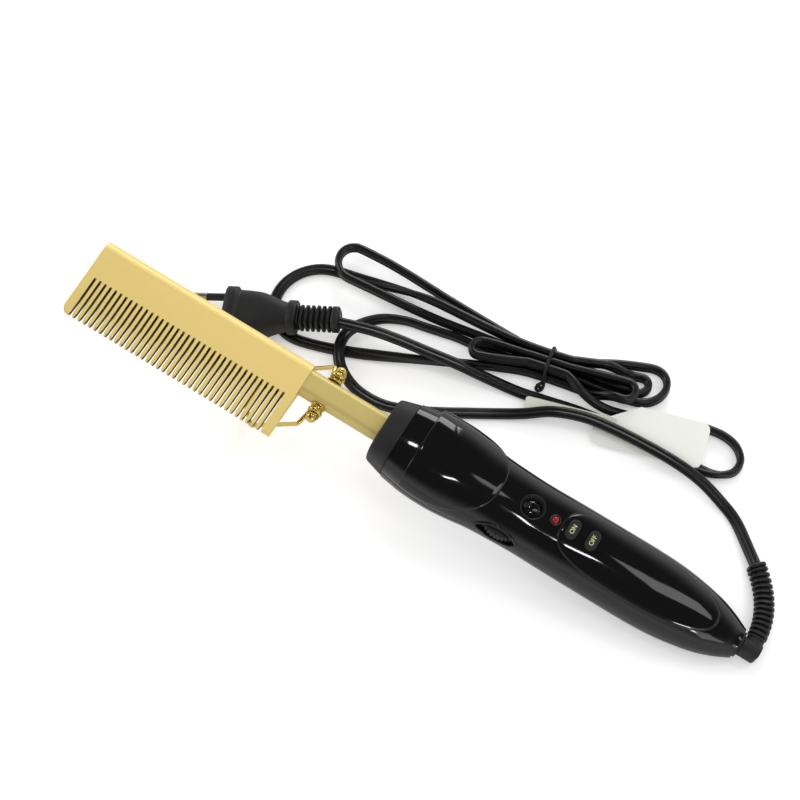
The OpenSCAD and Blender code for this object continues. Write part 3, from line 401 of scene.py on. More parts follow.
def poly_line(data, points, closed):
    """A curve's line through points, each [x, y, z]."""
    line = data.splines.new("POLY")
    line.points.add(len(points) - 1)
    for point, place in zip(line.points, points):
        point.co = (*place, 1)
    line.use_cyclic_u = closed
    return line


def swept(points, rolls=None, radius=0.0, profile=None, closed=False):
    """A mesh swept along points by a curve, round or with a closed profile of points."""
    data = bpy.data.curves.new("sweep", "CURVE")
    data.dimensions = "3D"
    data.twist_mode = "Z_UP" if profile else "MINIMUM"
    data.use_fill_caps = not closed
    line = poly_line(data, points, closed)
    for point, roll in zip(line.points, rolls or []):
        point.tilt = math.radians(roll)
    used = []
    if profile:
        outline = bpy.data.curves.new("profile", "CURVE")
        poly_line(outline, [(*p, 0) for p in profile], True)
        data.bevel_mode = "OBJECT"
        data.bevel_object = add_object("profile", outline)
        used.append(data.bevel_object)
    else:
        data.bevel_depth = radius
        data.bevel_resolution = 6
    used.append(add_object("sweep", data))
    bm = bmesh_of(used[-1])
    for item in used:
        curve = item.data
        bpy.data.objects.remove(item)
        bpy.data.curves.remove(curve)
    bmesh.ops.remove_doubles(bm, verts=bm.verts, dist=1e-7)
    return bm


def settled(obj):
    """An object's mesh as its modifiers, or its curve, leave it."""
    bpy.context.view_layer.update()
    seen = obj.evaluated_get(bpy.context.evaluated_depsgraph_get())
    return bpy.data.meshes.new_from_object(seen)


def bmesh_of(obj):
    """An object's settled mesh as a bmesh."""
    mesh = settled(obj)
    bm = bmesh.new()
    bm.from_mesh(mesh)
    bpy.data.meshes.remove(mesh)
    return bm


def joined(*parts):
    """Several bmeshes as one."""
    whole = parts[0]
    for part in parts[1:]:
        mesh = mesh_from("part", part)
        whole.from_mesh(mesh)
        bpy.data.meshes.remove(mesh)
    return whole


def shaded(mesh, sharp):
    """Smooth shading, with edges over so many degrees left sharp."""
    mesh.shade_smooth()
    mesh.set_sharp_from_angle(angle=math.radians(sharp))


def piece(name, bm, node, place=None, finish=None, sharp=35, replaces=True):
    """Turns a bmesh into a named piece that rides and is finished as its node is."""
    if place is not None:
        bmesh.ops.transform(bm, matrix=place, verts=bm.verts)
    bmesh.ops.recalc_face_normals(bm, faces=bm.faces)
    mesh = mesh_from(name, bm)
    shaded(mesh, sharp)
    obj = add_object(name, mesh)
    mesh.materials.append(material(finish or SLOT_OF[node]))
    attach(obj, BODY_OF[node])
    if replaces:
        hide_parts(node)
    return obj


def softened(obj, width, segments, angle):
    """Rounds the edges sharper than so many degrees, and returns the modifier."""
    soft = obj.modifiers.new("Rounded edges", "BEVEL")
    soft.width = width * MM
    soft.segments = segments
    soft.limit_method = "ANGLE"
    soft.angle_limit = math.radians(angle)
    return soft


def refined(node, name, edge, segments=2, angle=35):
    """A merged copy of a frame node with its edges rounded."""
    bm = bmesh.new()
    bm.from_mesh(NODES[node].data)
    bmesh.ops.remove_doubles(bm, verts=bm.verts, dist=1e-6)
    bmesh.ops.dissolve_limit(bm, angle_limit=math.radians(1), verts=bm.verts, edges=bm.edges)
    obj = piece(name, bm, node, sharp=angle)
    softened(obj, edge, segments, angle).harden_normals = True
    return obj


def cut(obj, tool, place, sharp=35):
    """Cuts a bmesh out of a piece."""
    bmesh.ops.transform(tool, matrix=place, verts=tool.verts)
    bmesh.ops.recalc_face_normals(tool, faces=tool.faces)
    cutter = add_object("cutter", mesh_from("cutter", tool))
    knife = obj.modifiers.new("cut", "BOOLEAN")
    knife.operation = "DIFFERENCE"
    knife.solver = "EXACT"
    knife.object = cutter
    used = (cutter.data, obj.data)
    obj.data = settled(obj)
    obj.modifiers.clear()
    bpy.data.objects.remove(cutter)
    for mesh in used:
        bpy.data.meshes.remove(mesh)
    shaded(obj.data, sharp)


def lettered(name, text, height, middle, turn, node, finish):
    """Raised flat lettering that lies on a face, turned about the upright line."""
    data = bpy.data.curves.new(name, "FONT")
    data.body = text
    data.size = height
    data.align_x = "CENTER"
    data.align_y = "CENTER"
    data.extrude = 0.04
    words = add_object(name, data)
    bm = bmesh_of(words)
    bpy.data.objects.remove(words)
    bpy.data.curves.remove(data)
    bmesh.ops.remove_doubles(bm, verts=bm.verts, dist=1e-5)
    place = TOOL @ Matrix.Translation(middle) @ Matrix.Rotation(turn, 4, "Z")
    return piece(name, bm, node, place, finish=finish, replaces=False)


# --- cord -----------------------------------------------------------------------------------

CORD_WIDTH = 0.0055
CORD_THICKNESS = 0.0034
CORE_OFFSET = (CORD_WIDTH - CORD_THICKNESS) / 2
STRAND_STEP = CORD_THICKNESS + 0.0005
TIE_THICKNESS = 0.00085
LAYER_STEP = CORD_WIDTH + 0.00045
TIE_PLACE = Vector((0.019, 0.087))
TIE_TURN = math.radians(9)
TIED_HALF = 0.008
STRANDS = [(across * STRAND_STEP, TIE_THICKNESS + 0.0001 + layer * LAYER_STEP) for across, layer in
           ((-0.5, 0), (1.5, 0), (0.5, 0), (1, 1), (-1.5, 0), (0, 1), (-1, 1))]
# side, reach, slant in degrees, half width, lift of the two legs' ends, roll at the tip
LOOPS = [(1, 0.054, 8.3, 0.0095, 0, 0, 90), (-1, 0.112, 8.6, 0.0085, 0.004, 0.004, 90),
         (1, 0.046, 5.4, 0.0042, 0, 0, 90), (-1, 0.133, -3, 0.0205, 0, 0, 0),
         (1, 0.042, 1, 0.0045, 0.007, 0.007, 90), (-1, 0.036, -7, 0.004, 0.007, 0.007, 90)]
LEG_RINGS = 7
TIP_RINGS = 9
FLOOR_GAP = 0.05 * MM
BOOT_GAP = 0.05
# Along the hank, across it, lift above the surface, and roll
HANK_IN = [(-0.052, 0.0002, 0, 90), (-0.046, 0.0002, 0, 90), (-0.038, -0.0006, 0, 90),
           (-0.028, -0.0015, 0.0003, 90), (-0.018, STRANDS[0][0], 0.0008, 90),
           (-TIED_HALF, *STRANDS[0], 90)]
HANK_OUT = [(TIED_HALF, *STRANDS[-1], 90), (0.011, -0.0046, STRANDS[-1][1], 90),
            (0.015, -0.007, 0.0069, 90), (0.02, -0.01, 0.006, 90), (0.027, -0.0114, 0.0028, 90),
            (0.035, -0.0112, 0.0006, 90), (0.046, -0.0099, 0, 90), (0.052, -0.0086, 0, 90)]
# Along, across, lift and roll of the free stretches
LEAD_POINTS = [
    (0.141, 0.049, 0.0015, 0), (0.129, 0.06, 0, 0), (0.119, 0.065, 0.0009, 0),
    (0.106, 0.0685, 0.0045, 0), (0.092, 0.0705, 0.0058, 0), (0.076, 0.0715, 0.0058, 0),
    (0.06, 0.0715, 0.0058, 0), (0.046, 0.0702, 0.0058, 0), (0.032, 0.066, 0.0049, 0),
    (0.02, 0.06, 0.0015, 0), (0.008, 0.054, 0, 0), (-0.003, 0.048, 0, 0), (-0.014, 0.042, 0, 0),
    (-0.027, 0.036, 0, 0), (-0.04, 0.0325, 0, 0), (-0.053, 0.033, 0.0015, 0),
    (-0.063, 0.0375, 0.0041, 0), (-0.069, 0.045, 0.0045, 0), (-0.071, 0.054, 0.0038, 20),
    (-0.068, 0.0635, 0.0014, 50), (-0.061, 0.0715, 0.0002, 75), (-0.051, 0.076, 0, 90),
    (-0.042, 0.0775, 0, 90)]
TAIL_POINTS = [
    (0.0787, 0.0893, 0, 90), (0.0865, 0.0925, 0, 90), (0.096, 0.095, 0, 90),
    (0.105, 0.0956, 0, 90), (0.1125, 0.0932, 0, 90), (0.1172, 0.0876, 0, 90),
    (0.1166, 0.0808, 0, 85), (0.11, 0.0763, 0, 50), (0.101, 0.0753, 0, 15), (0.088, 0.0753, 0, 0),
    (0.072, 0.0756, 0, 0), (0.056, 0.0756, 0, 0), (0.04, 0.0742, 0, 0), (0.026, 0.0718, 0, 0),
    (0.012, 0.0693, 0.0005, 0), (-0.003, 0.0673, 0.0029, 0), (-0.018, 0.0654, 0.0059, 0),
    (-0.033, 0.0636, 0.0071, 0), (-0.048, 0.0614, 0.0091, 0), (-0.061, 0.0584, 0.011, 0)]


def ease(t):
    """A soft rise from 0 to 1."""
    u = min(max(t, 0), 1)
    return u * u * (3 - 2 * u)


def tied(p):
    """From the hank's own lines to the row frame."""
    c, s = math.cos(TIE_TURN), math.sin(TIE_TURN)
    return (TIE_PLACE.x + p[0] * c - p[1] * s, TIE_PLACE.y + p[0] * s + p[1] * c, p[2], p[3])


def loop_leg(loop, start, mid, swell, lift, f):
    """A loop's leg at a share of its length, from the tie at 0 to the tip's arc at 1."""
    side, reach, slant, half, *_, roll = loop
    along = TIED_HALF + (reach - half - TIED_HALF) * f
    spread = math.sin(math.pi / 2 * f) ** 1.4
    late = ease((f - 0.45) / 0.45)
    across = (mid + (start[0] - mid) * (1 - spread)
              + (along - TIED_HALF) * math.tan(math.radians(slant)))
    return (side * along, across + swell * half * spread, start[1] + (lift - start[1]) * late,
            90 + (roll - 90) * late)


def hank_loop(k):
    """A loop leaves the tie on one strand's place and comes back on the next."""
    loop, start, end = LOOPS[k], STRANDS[k], STRANDS[k + 1]
    side, reach, slant, half, lift_a, lift_b, roll = loop
    mid = (start[0] + end[0]) / 2
    swell = 1 if start[0] > end[0] else -1
    legs = [i / (LEG_RINGS + 1) for i in range(LEG_RINGS + 1)]
    out = [loop_leg(loop, start, mid, swell, lift_a, f) for f in legs]
    for i in range(TIP_RINGS):
        a = math.pi / 2 - math.pi * i / (TIP_RINGS - 1)
        along = reach - half + half * math.cos(a)
        across = mid + (along - TIED_HALF) * math.tan(math.radians(slant)) + swell * half * math.sin(a)
        out.append((side * along, across, lift_a + (lift_b - lift_a) * i / (TIP_RINGS - 1), roll))
    return out + [loop_leg(loop, end, mid, -swell, lift_b, f) for f in reversed(legs)]


PLUG_PLACE = (-0.125, 0.035, 0.006736)
PLUG_TURN = math.radians(22)
PLUG_LIFT = math.radians(8)
PLUG_BODY_TO = 35.0
PLUG_BOOT_TO = 55.0
PLUG = (Matrix.Translation(PLUG_PLACE) @ Matrix.Rotation(PLUG_TURN, 4, "Z")
        @ Matrix.Rotation(-PLUG_LIFT, 4, "Y") @ Matrix.Scale(MM, 4))
BOOT_LEN = 38.0
BOOT_BEND = 45.0
BOOT_R = 4.4


def boot_at(s):
    """Place and two cross directions at a distance along the cord's boot on the handle."""
    a, t = s / BOOT_BEND, s / BOOT_LEN
    end_x = OUTLET_X - BOOT_BEND * (1 - math.cos(BOOT_LEN / BOOT_BEND))
    drop = (BOOT_R + 0.1 - TOOL.translation.z / MM + end_x * math.sin(TILT)) / math.cos(TILT)
    middle = Vector((OUTLET_X - BOOT_BEND * (1 - math.cos(a)), OUTLET_Y + BOOT_BEND * math.sin(a),
                     drop * t * t * (3 - 2 * t)))
    return middle, Vector((math.cos(a), math.sin(a), 0)), Vector((0, 0, 1))


def cord_route():
    """The whole cord as [x, y, z, roll], from the handle's boot to the plug's boot. The hank's
    curve takes over from the lead's at its first point, and the tail's from the hank's at its last."""
    start = TOOL @ boot_at(BOOT_LEN)[0]
    end = PLUG @ Vector((PLUG_BOOT_TO + BOOT_GAP, 0, 0))
    end.z -= CORD_THICKNESS / 2 + FLOOR_GAP
    run = Vector((math.cos(PLUG_TURN), math.sin(PLUG_TURN), math.sin(PLUG_LIFT)))
    loops = [p for k in range(len(LOOPS)) for p in hank_loop(k)]
    hank = [tied(p) for p in HANK_IN + loops + HANK_OUT]
    inside = 0.7 * MM
    lead = [(start.x + inside, start.y - inside, BOOT_R * MM - CORD_THICKNESS / 2, 0)]
    tail = [(*(end - back * MM * run), 0) for back in (7, 0)]
    points = (smooth(lead + LEAD_POINTS + hank[:2], 6)[:-7] + smooth(hank, 3)
              + smooth([hank[-1]] + TAIL_POINTS + tail, 6)[1:])
    return [(x, y, lift + CORD_THICKNESS / 2 + FLOOR_GAP + CORE_OFFSET * math.sin(math.radians(roll)),
             roll) for x, y, lift, roll in points]


def twin_profile():
    """Outline of a flat twin cord: two round leads side by side with a groove between."""
    r = CORD_THICKNESS / 2
    open_angle = math.acos(CORE_OFFSET / r)
    sweep = math.pi - open_angle
    steps = 12
    right = [(CORE_OFFSET + r * math.cos(a), r * math.sin(a)) for a in
             [-sweep + 2 * sweep * i / steps for i in range(steps)]]
    return right + [(-x, -y) for x, y in right]


class AddCord(Operator):
    """Lays the flat twin cord from the handle through its tied hank to the plug"""
    bl_idname = "hot_comb.add_cord"
    bl_label = "Cord"

    def execute(self, context):
        route = cord_route()
        places = [p[:3] for p in route]
        bm = swept(places, [p[3] for p in route], profile=twin_profile())
        cord = piece("cord", bm, "cord_bundle", sharp=50)
        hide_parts("cord_lead", "cord_tail")
        return {"FINISHED"}


def ribbed_ring(row, at, squareness):
    """One ring of a ribbed sleeve: place along it, half width and half height."""
    middle, across, up = at(row[0])
    return [middle + across * row[1] * bulge(math.cos(a), squareness)
            + up * row[2] * bulge(math.sin(a), squareness) for a in circle(40)]


def rib_rows(count, start, end, core, rib):
    """Rows for ribs of equal pitch with softened edges, between a core's size and a rib's."""
    pitch = (end - start) / count
    profile = ((0.14, core, 0), (0.24, rib, 0.45), (0.34, rib, 0), (0.72, rib, 0), (0.82, rib, 0.45),
               (0.92, core, 0))
    return [(start + (i + share) * pitch, size[0] - trim, size[1] - trim)
            for i in range(count) for share, size, trim in profile]


class AddBoots(Operator):
    """Moulds the ribbed boots on the handle's swivel and on the plug"""
    bl_idname = "hot_comb.add_boots"
    bl_label = "Ribbed boots"

    def execute(self, context):
        rows = [(0.05, 3.5, 3.5), (0.3, 3.9, 3.9), (1.2, 3.9, 3.9)]
        rows += rib_rows(13, 1.2, BOOT_LEN - 1.6, (3.1, 3.1), (BOOT_R, BOOT_R))
        rows += [(BOOT_LEN - 1.6, 4.0, 4.0), (BOOT_LEN - 1.3, 4.3, 4.3), (BOOT_LEN - 0.3, 4.3, 4.3),
                 (BOOT_LEN, 4.0, 4.0)]
        piece("handle_boot", loft([ribbed_ring(row, boot_at, 2.8) for row in rows]), "cord_boot", TOOL,
              sharp=50)
        start = PLUG_BODY_TO
        rows = [(start + 0.05, 4.8, 4.2), (start + 0.3, 5, 4.6), (start + 1, 5, 4.6)]
        rows += rib_rows(6, start + 1, PLUG_BOOT_TO - 3.4, (3.6, 3), (5.6, 4.7))
        rows += [(PLUG_BOOT_TO - 3.3, 5.3, 4.4), (PLUG_BOOT_TO - 3, 5.6, 4.7),
                 (PLUG_BOOT_TO - 0.4, 5.6, 4.7), (PLUG_BOOT_TO, 5.2, 4.3)]
        piece("plug_boot", loft([ribbed_ring(row, self.straight, 4) for row in rows]), "plug_boot",
              PLUG, sharp=50)
        return {"FINISHED"}

    def straight(self, s):
        """Place and two cross directions along the plug."""
        return Vector((s, 0, 0)), Vector((0, 1, 0)), Vector((0, 0, 1))


class AddPlug(Operator):
    """Moulds the two-pin plug"""
    bl_idname = "hot_comb.add_plug"
    bl_label = "Plug"

    def execute(self, context):
        half_w, half_h = 13.5, 6.85
        # distance, what is added to the half width and half height, squareness
        rows = [[0, -1.4, -1.2, 4], [0.25, -0.5, -0.4, 4], [0.8, 0, 0, 4], [5.3, 0, 0, 4],
                [5.9, -0.25, -0.2, 4], [6.3, -0.8, -0.7, 4], [7, -1.3, -1, 3.6],
                [12, -1.5, -0.8, 3.4], [17, -2, -0.6, 3.2], [21, -3.2, -0.7, 3],
                [25, -5, -0.9, 2.8], [28, -6, -1.2, 2.6]]
        neck = [[29.5, -6.5, -1.5, 2.6], [30.2, -6.6, -1.6, 2.6], [30.6, -5.8, -1.1, 2.6],
                [31, -5.3, -0.9, 2.6], [34.2, -5.3, -0.9, 2.6], [34.8, -5.5, -1.1, 2.6],
                [PLUG_BODY_TO, -6, -1.6, 2.6]]
        body = rows[:7] + smooth(rows[6:], 5)[1:] + neck
        rings = [[section(at, half_w + w, half_h + h, e, a) for a in circle(96, 0.5)]
                 for at, w, h, e in body]
        piece("plug", loft(rings), "plug_body", PLUG, sharp=45)
        refined("pin_sleeves", "plug_pin_sleeves", 0.15)
        refined("plug_pins", "plug_pin_metal", 0.25)
        return {"FINISHED"}


class AddTieAndTag(Operator):
    """Ties the hank and hangs the blank tag on the cord"""
    bl_idname = "hot_comb.add_tie_and_tag"
    bl_label = "Tie and blank tag"

    def execute(self, context):
        self.tie()
        self.tag()
        return {"FINISHED"}

    def tie(self):
        wire_r = 0.85
        low, high, top = 8.2, 6.3, 13.1
        ring = [(0, -low - 0.1, 2), (0.2, -low, 5.6), (0.1, -high, 11), (0, -high + 2, top),
                (0, high - 2, top + 0.1), (0, high, 11), (0.1, low, 5.6), (0, low + 0.1, 2),
                (0, low - 1.6, 0.75), (0, 0, 0.7), (0, 1.6 - low, 0.75)]
        loop = smooth(ring[-1:] + ring + ring[:2], 6)[6:-6]
        curl = [(0.4, -low - 0.6, 2.8), (0.5, -low - 1.6, 2), (0.2, -low - 2.9, 1.5),
                (-1, -low - 3.9, 1.3), (-2.3, -low - 3.3, 1.2), (-2.4, -low - 2, 1.1),
                (-1.2, -low - 1.5, 1), (-0.4, -low - 2.4, 0.9)]
        stub = [(-0.5, -low - 0.5, 3.4), (-1.2, -low - 1.6, 3.8), (-2.4, -low - 2.8, 3.4)]
        whole = joined(swept(loop[:-1], radius=wire_r, closed=True),
                       swept(smooth(curl, 5), radius=wire_r * 0.9),
                       swept(smooth(stub, 4), radius=wire_r * 0.9))
        place = (Matrix.Translation((*TIE_PLACE, 0)) @ Matrix.Rotation(TIE_TURN, 4, "Z")
                 @ Matrix.Scale(MM, 4))
        piece("wire_tie", whole, "cord_tie", place, sharp=60)

    def tag(self):
        place = Matrix.Translation((0.017, 0.0655, 0.0039))
        for turn, axis in ((13, "Z"), (-1.43, "Y"), (11.3, "X")):
            place = place @ Matrix.Rotation(math.radians(turn), 4, axis)
        place = place @ Matrix.Scale(MM, 4)
        narrow, wide, widens_from, slope = 2.8, 11, 40, 0.63
        leaf = self.card(34, 86, lambda x: min(max(narrow + (x - widens_from) * slope, narrow), wide),
                         -wide, (96, 22), 3.6)
        piece("blank_tag", leaf, "cord_tag", place, sharp=50)
        strap = self.card(1, 44, lambda x: narrow, -3, (36, 10), 0.6)
        piece("tag_strap", strap, "cord_tag", place @ Matrix.Translation((0, 0, 0.35)),
              finish="clear_strap", sharp=50, replaces=False)

    def card(self, start, end, far_edge, near_edge, cells, corner):
        """A thin card with round corners and a slight curl. Its far edge follows a function."""
        thickness, curl, lift = 0.25, 0.25, 0.02
        bm = bmesh.new()
        bmesh.ops.create_grid(bm, x_segments=cells[0], y_segments=cells[1], size=1)
        for v in bm.verts:
            x = (start + end) / 2 + v.co.x * (end - start) / 2
            middle, half = (far_edge(x) + near_edge) / 2, (far_edge(x) - near_edge) / 2
            near = max(corner - min(x - start, end - x), 0)
            pinch = corner - math.sqrt(max(corner ** 2 - near ** 2, 0))
            y = middle + v.co.y * (half - pinch)
            rise = curl * math.sin(math.pi * (x - start) / (end - start)) * (y - near_edge) / half / 2
            v.co = (x, y, lift + rise)
        bmesh.ops.remove_doubles(bm, verts=bm.verts, dist=1e-3)
        bmesh.ops.recalc_face_normals(bm, faces=bm.faces)
        bmesh.ops.solidify(bm, geom=bm.faces[:], thickness=thickness)
        return bm


# --- comb, neck and stand -------------------------------------------------------------------

class AddComb(Operator):
    """Finishes the comb plate, with painted shade in a dark gold on its slot walls, and the neck tube"""
    bl_idname = "hot_comb.add_comb"
    bl_label = "Comb and neck"

    def execute(self, context):
        end_margin, wall_slope = 2, 0.5
        comb = refined("comb_plate", "comb", sizes().edge_round / MM, 3, angle=30)
        comb.data.materials.append(material("slot_gold"))
        along = (TOOL.to_3x3() @ Vector((1, 0, 0))).normalized()
        to_tool = TOOL.inverted()
        # Faces that face along the comb, away from its ends, are the slot walls, and they take the painted shade.
        for face in comb.data.polygons:
            x = (to_tool @ face.center).x
            if abs(face.normal.dot(along)) > wall_slope and end_margin < x < COMB_LEN - end_margin:
                face.material_index = 1
        neck = piece("neck", bar(0, COMB_LEN, HANDLE_X + 11), "neck_tube", TOOL)
        cut(neck, bar(-2 * NECK_WALL, COMB_LEN - 1, HANDLE_X + 12), TOOL)
        return {"FINISHED"}


def bar(extra, start, end):
    """A bar of the neck's flat-sided round section, that much wider and thicker."""
    outline = obround(NECK_T + extra, NECK_W + extra, 0)
    return loft([[(x, across, up) for up, across, _ in outline] for x in (start, end)])


def nut(side, start, end, dome):
    """A chamfered hexagon nut along the stud, with a washer's edge, or a dome of that radius."""
    rings = [[(r * math.cos(a), y, r * math.sin(a)) for a in circle(6)]
             for y, r in ((start, 2.75), (start + 0.25, 3.05), (end - 0.25, 3.05), (end, 2.75))]
    if dome:
        profile = [(0, end - 0.3), (dome, end - 0.3)]
        profile += [(dome * math.cos(a), end + dome * math.sin(a))
                    for a in [math.pi / 20 * i for i in range(11)]]
    else:
        profile = [(1.6, start - 0.1), (3.5, start - 0.1), (3.6, start + 0.1), (3.5, start + 0.35),
                   (1.6, start + 0.35)]
    turned = lathe(profile, (0, 0, 0), 40)
    bmesh.ops.rotate(turned, verts=turned.verts, matrix=Matrix.Rotation(-math.pi / 2, 3, "X"))
    whole = joined(loft(rings), turned)
    bmesh.ops.scale(whole, vec=(1, side, 1), verts=whole.verts)
    return whole


class AddStand(Operator):
    """Bends the wire stand and finishes its nuts"""
    bl_idname = "hot_comb.add_stand"
    bl_label = "Wire stand"

    def execute(self, context):
        pivot = TOOL @ Matrix.Translation((PIVOT_X, 0, 0))
        self.wire(pivot)
        refined("stand_stud", "stand_axle", sizes().edge_round / MM, 3)
        for node, name, spot in (("stand_lock_nuts", "lock_nuts", (6.85, 8.75, 0)),
                                 ("stand_acorn_nuts", "domed_nuts", (10.95, 12.65, 2.6))):
            made = piece(name, joined(*[nut(side, *spot) for side in (-1, 1)]), node, pivot, sharp=30)
            softened(made, 0.12, 2, 30)
        return {"FINISHED"}

    def wire(self, pivot):
        """The bent wire with its two eyes, at its slope at rest."""
        slope = math.radians(55.29)
        wire_r, stud_r, eye_y = 1.0, 1.55, 9.85
        leg, ankle, half_w, foot = 61.2, 44.6, 16.4, 3.6
        half = [(-stud_r - wire_r - 0.1, eye_y, 0), (-4.6, eye_y, 0), (-7.2, half_w, 0),
                (-ankle, half_w, 0), (-leg, foot, 0)]
        corners = half + [(x, -y, z) for x, y, z in reversed(half)]
        parts = [swept(bent(corners, 1.6, 8), radius=wire_r)]
        eye_ring = [(stud_r + wire_r + wire_r * math.cos(a), wire_r * math.sin(a)) for a in circle(20)]
        for side in (-1, 1):
            eye = lathe(eye_ring, (0, 0, 0), 48)
            bmesh.ops.transform(eye, verts=eye.verts, matrix=Matrix.Translation((0, side * eye_y, 0))
                                @ Matrix.Rotation(math.pi / 2, 4, "X"))
            parts.append(eye)
        piece("stand_wire_loop", joined(*parts), "stand_wire",
              pivot @ Matrix.Rotation(-slope, 4, "Y"), sharp=60)


def bent(points, trim, steps):
    """Points of a bent wire: each corner becomes a curve that takes trim from both sides."""
    out = [Vector(points[0])]
    for before, corner, after in zip(points, points[1:], points[2:]):
        p = Vector(corner)
        a = p + (Vector(before) - p).normalized() * trim
        b = p + (Vector(after) - p).normalized() * trim
        out += [a * (1 - t) ** 2 + p * 2 * t * (1 - t) + b * t * t
                for t in [k / steps for k in range(steps + 1)]]
    return out + [Vector(points[-1])]


# --- handle ---------------------------------------------------------------------------------

def bulge(v, e):
    """A signed power, for rounded sections."""
    return math.copysign(abs(v) ** (2 / e), v)


def section(x, w, h, e, a):
    """A point of a rounded section: half width, height, squareness, angle from the far side."""
    return Vector((x, w * bulge(math.cos(a), e), h * bulge(math.sin(a), e)))


def on_shell(d, a, proud):
    """A point that stands so far proud of the upper shell, at a distance and an angle."""
    w, h, _, e = outline_at(d)
    return section(HANDLE_X + d, w + proud, h + proud, e, a)


def outline_rings():
    """The handle's outline: distance, half width, height above and below the seam, squareness."""
    s = sizes()
    hood, waist, grip = s.hood_width / MM / 2, s.waist_width / MM / 2, s.grip_width / MM / 2
    deep = s.grip_height / MM / 2
    top = deep - 0.4
    keys = [[0, hood - 2.6, 12.8, 12.8, 3], [5.4, hood - 1.6, 13.4, 13.3, 2.9],
            [12, hood - 0.5, 13.9, 13.8, 2.7], [23.4, hood, 14.2, 14.2, 2.5],
            [33.4, hood - 0.7, 13.9, 14.1, 2.4], [44, hood - 2, 13.2, 13.7, 2.3],
            [54, waist + 0.4, 12.6, 13.4, 2.3], [66, waist, 12.4, 13.3, 2.3],
            [82, (waist + grip) / 2, 12.9, deep - 0.4, 2.3]]
    # distance from the tail, shares of the width and of the two heights, squareness
    ends = [(68, 1, 1, 1, 2.2), (50, 1, 1, 1, 2.2), (37, 0.97, 0.97, 0.97, 2.2), (26, 0.9, 0.9, 0.9, 2.1),
            (15, 0.77, 0.78, 0.78, 2.1), (7, 0.61, 0.65, 0.64, 2), (2, 0.47, 0.54, 0.53, 2)]
    keys += [[HANDLE_LEN - back, grip * w, top * u, deep * d, e] for back, w, u, d, e in ends]
    return smooth(keys + [[HANDLE_LEN, TAIL_R, TAIL_R, TAIL_R, 2]], 8)


def half_shell(up):
    """One moulded shell: its outer skin rolls in at the seam, and its inner skin follows."""
    count, roll_in = 72, 0.004
    rings = []
    for d, w, high, low, e in outline_rings():
        h = high if up > 0 else low
        x = HANDLE_X + d
        bore = SOCKET_R if d > HANDLE_LEN - SOCKET_LEN else None
        inner_w, inner_h = (bore or max(v - SHELL_WALL, SOCKET_R) for v in (w, h))
        shares = [j / count for j in range(count + 1)]
        outer = [section(x, w, h, e, math.pi * (1 - roll_in - (1 - 2 * roll_in) * s)) for s in shares]
        inner = [section(x, inner_w, inner_h, e, math.pi * (1 - s)) for s in shares]
        lips = [Vector((x, side * (w - SEAM_GROOVE), 0)) for side in (-1, 1)]
        ring = [lips[0]] + outer + [lips[1]] + [inner[-1]] + inner[::-1] + [inner[0]]
        rings.append([Vector((p.x, p.y, up * p.z)) for p in ring])
    return rings


OUTLINE_CACHE = []


def outline_at(d):
    """Half width, height above and below, squareness at a distance, from rings made once."""
    if not OUTLINE_CACHE:
        OUTLINE_CACHE.extend(outline_rings())
    for a, b in zip(OUTLINE_CACHE, OUTLINE_CACHE[1:]):
        if d <= b[0]:
            t = (d - a[0]) / (b[0] - a[0])
            return [p + (q - p) * t for p, q in zip(a[1:], b[1:])]
    return OUTLINE_CACHE[-1][1:]


# Rings of a cover: share of the way from its centre to its rim, and share of its rise
UNDERSIDE_MARKS = [(0.05, -0.16), (0.5, -0.16)]
RIM_MARKS = [(1.0, -0.16), (0.998, 0.35), (0.99, 0.72), (0.978, 0.93), (0.96, 1.0)]
FIELD_MARKS = [(s, 1.0) for s in (0.9, 0.8, 0.68, 0.55, 0.42, 0.3, 0.18, 0.08)]


def cover(rim, centre, rise, count):
    """A closed cover on the shell: rounded rim, smooth field, and an underside let into the shell.
    The rim's function gives distance and angle for a share of the way round."""
    rings = []
    border = [rim(i / count) for i in range(count)]
    for share, lift in UNDERSIDE_MARKS + RIM_MARKS + FIELD_MARKS:
        rings.append([on_shell(centre[0] + (d - centre[0]) * share, centre[1] + (a - centre[1]) * share,
                               lift * rise) for d, a in border])
    return loft(rings)


# Middles of the two covers: distance and angle
HOOD_MIDDLE = (24, math.pi / 2)
PANEL_MIDDLE = (118.4, math.radians(92))


def hood_rim(t):
    """Tongue outline: straight at the front with round corners, then back to a round tip."""
    front, tip, low = 9.1, 48.9, math.radians(8)
    front_share, side_share = 0.2, 0.4
    if t < front_share:
        return front, low + (math.pi - 2 * low) * (1 - t / front_share)
    side = (t - front_share) / side_share
    u = side if side <= 1 else 2 - side
    angle = low + math.radians(80) * (1 - math.cos(math.pi / 2 * u)) ** 1.15
    return front + (tip - front) * math.sin(math.pi / 2 * u), angle if side <= 1 else math.pi - angle


def panel_rim(t):
    """Long oval outline of the inlay."""
    start, end, half = 79.2, HANDLE_LEN - 12.8, math.radians(49)
    a = 2 * math.pi * t
    along, across = bulge(math.cos(a), 2.6), bulge(math.sin(a), 2.6)
    return (start + end) / 2 + along * (end - start) / 2, PANEL_MIDDLE[1] + half * across


# Places of the controls along the handle, and their sizes
WHEEL_X = 56.4
WHEEL_Y = -5.0
WHEEL_Z = 2.2
WHEEL_T = 4.0
SLOT_MIDDLE = WHEEL_Z + WHEEL_T / 2
SLOT_HALF = (9.5, 3.0)
LIP_HALF = (10.3, 3.7)
WINDOW_X = 64.4
LAMP_X = 75.6
BUTTONS = {"on": 84.2, "off": 93.9}
BUTTON_L = 5.5
BUTTON_W = 10.0
BUTTON_GAP = 0.25
POSTS = ((30.0, "screw_well_front"), (HANDLE_LEN - 35.0, "screw_well_rear"))


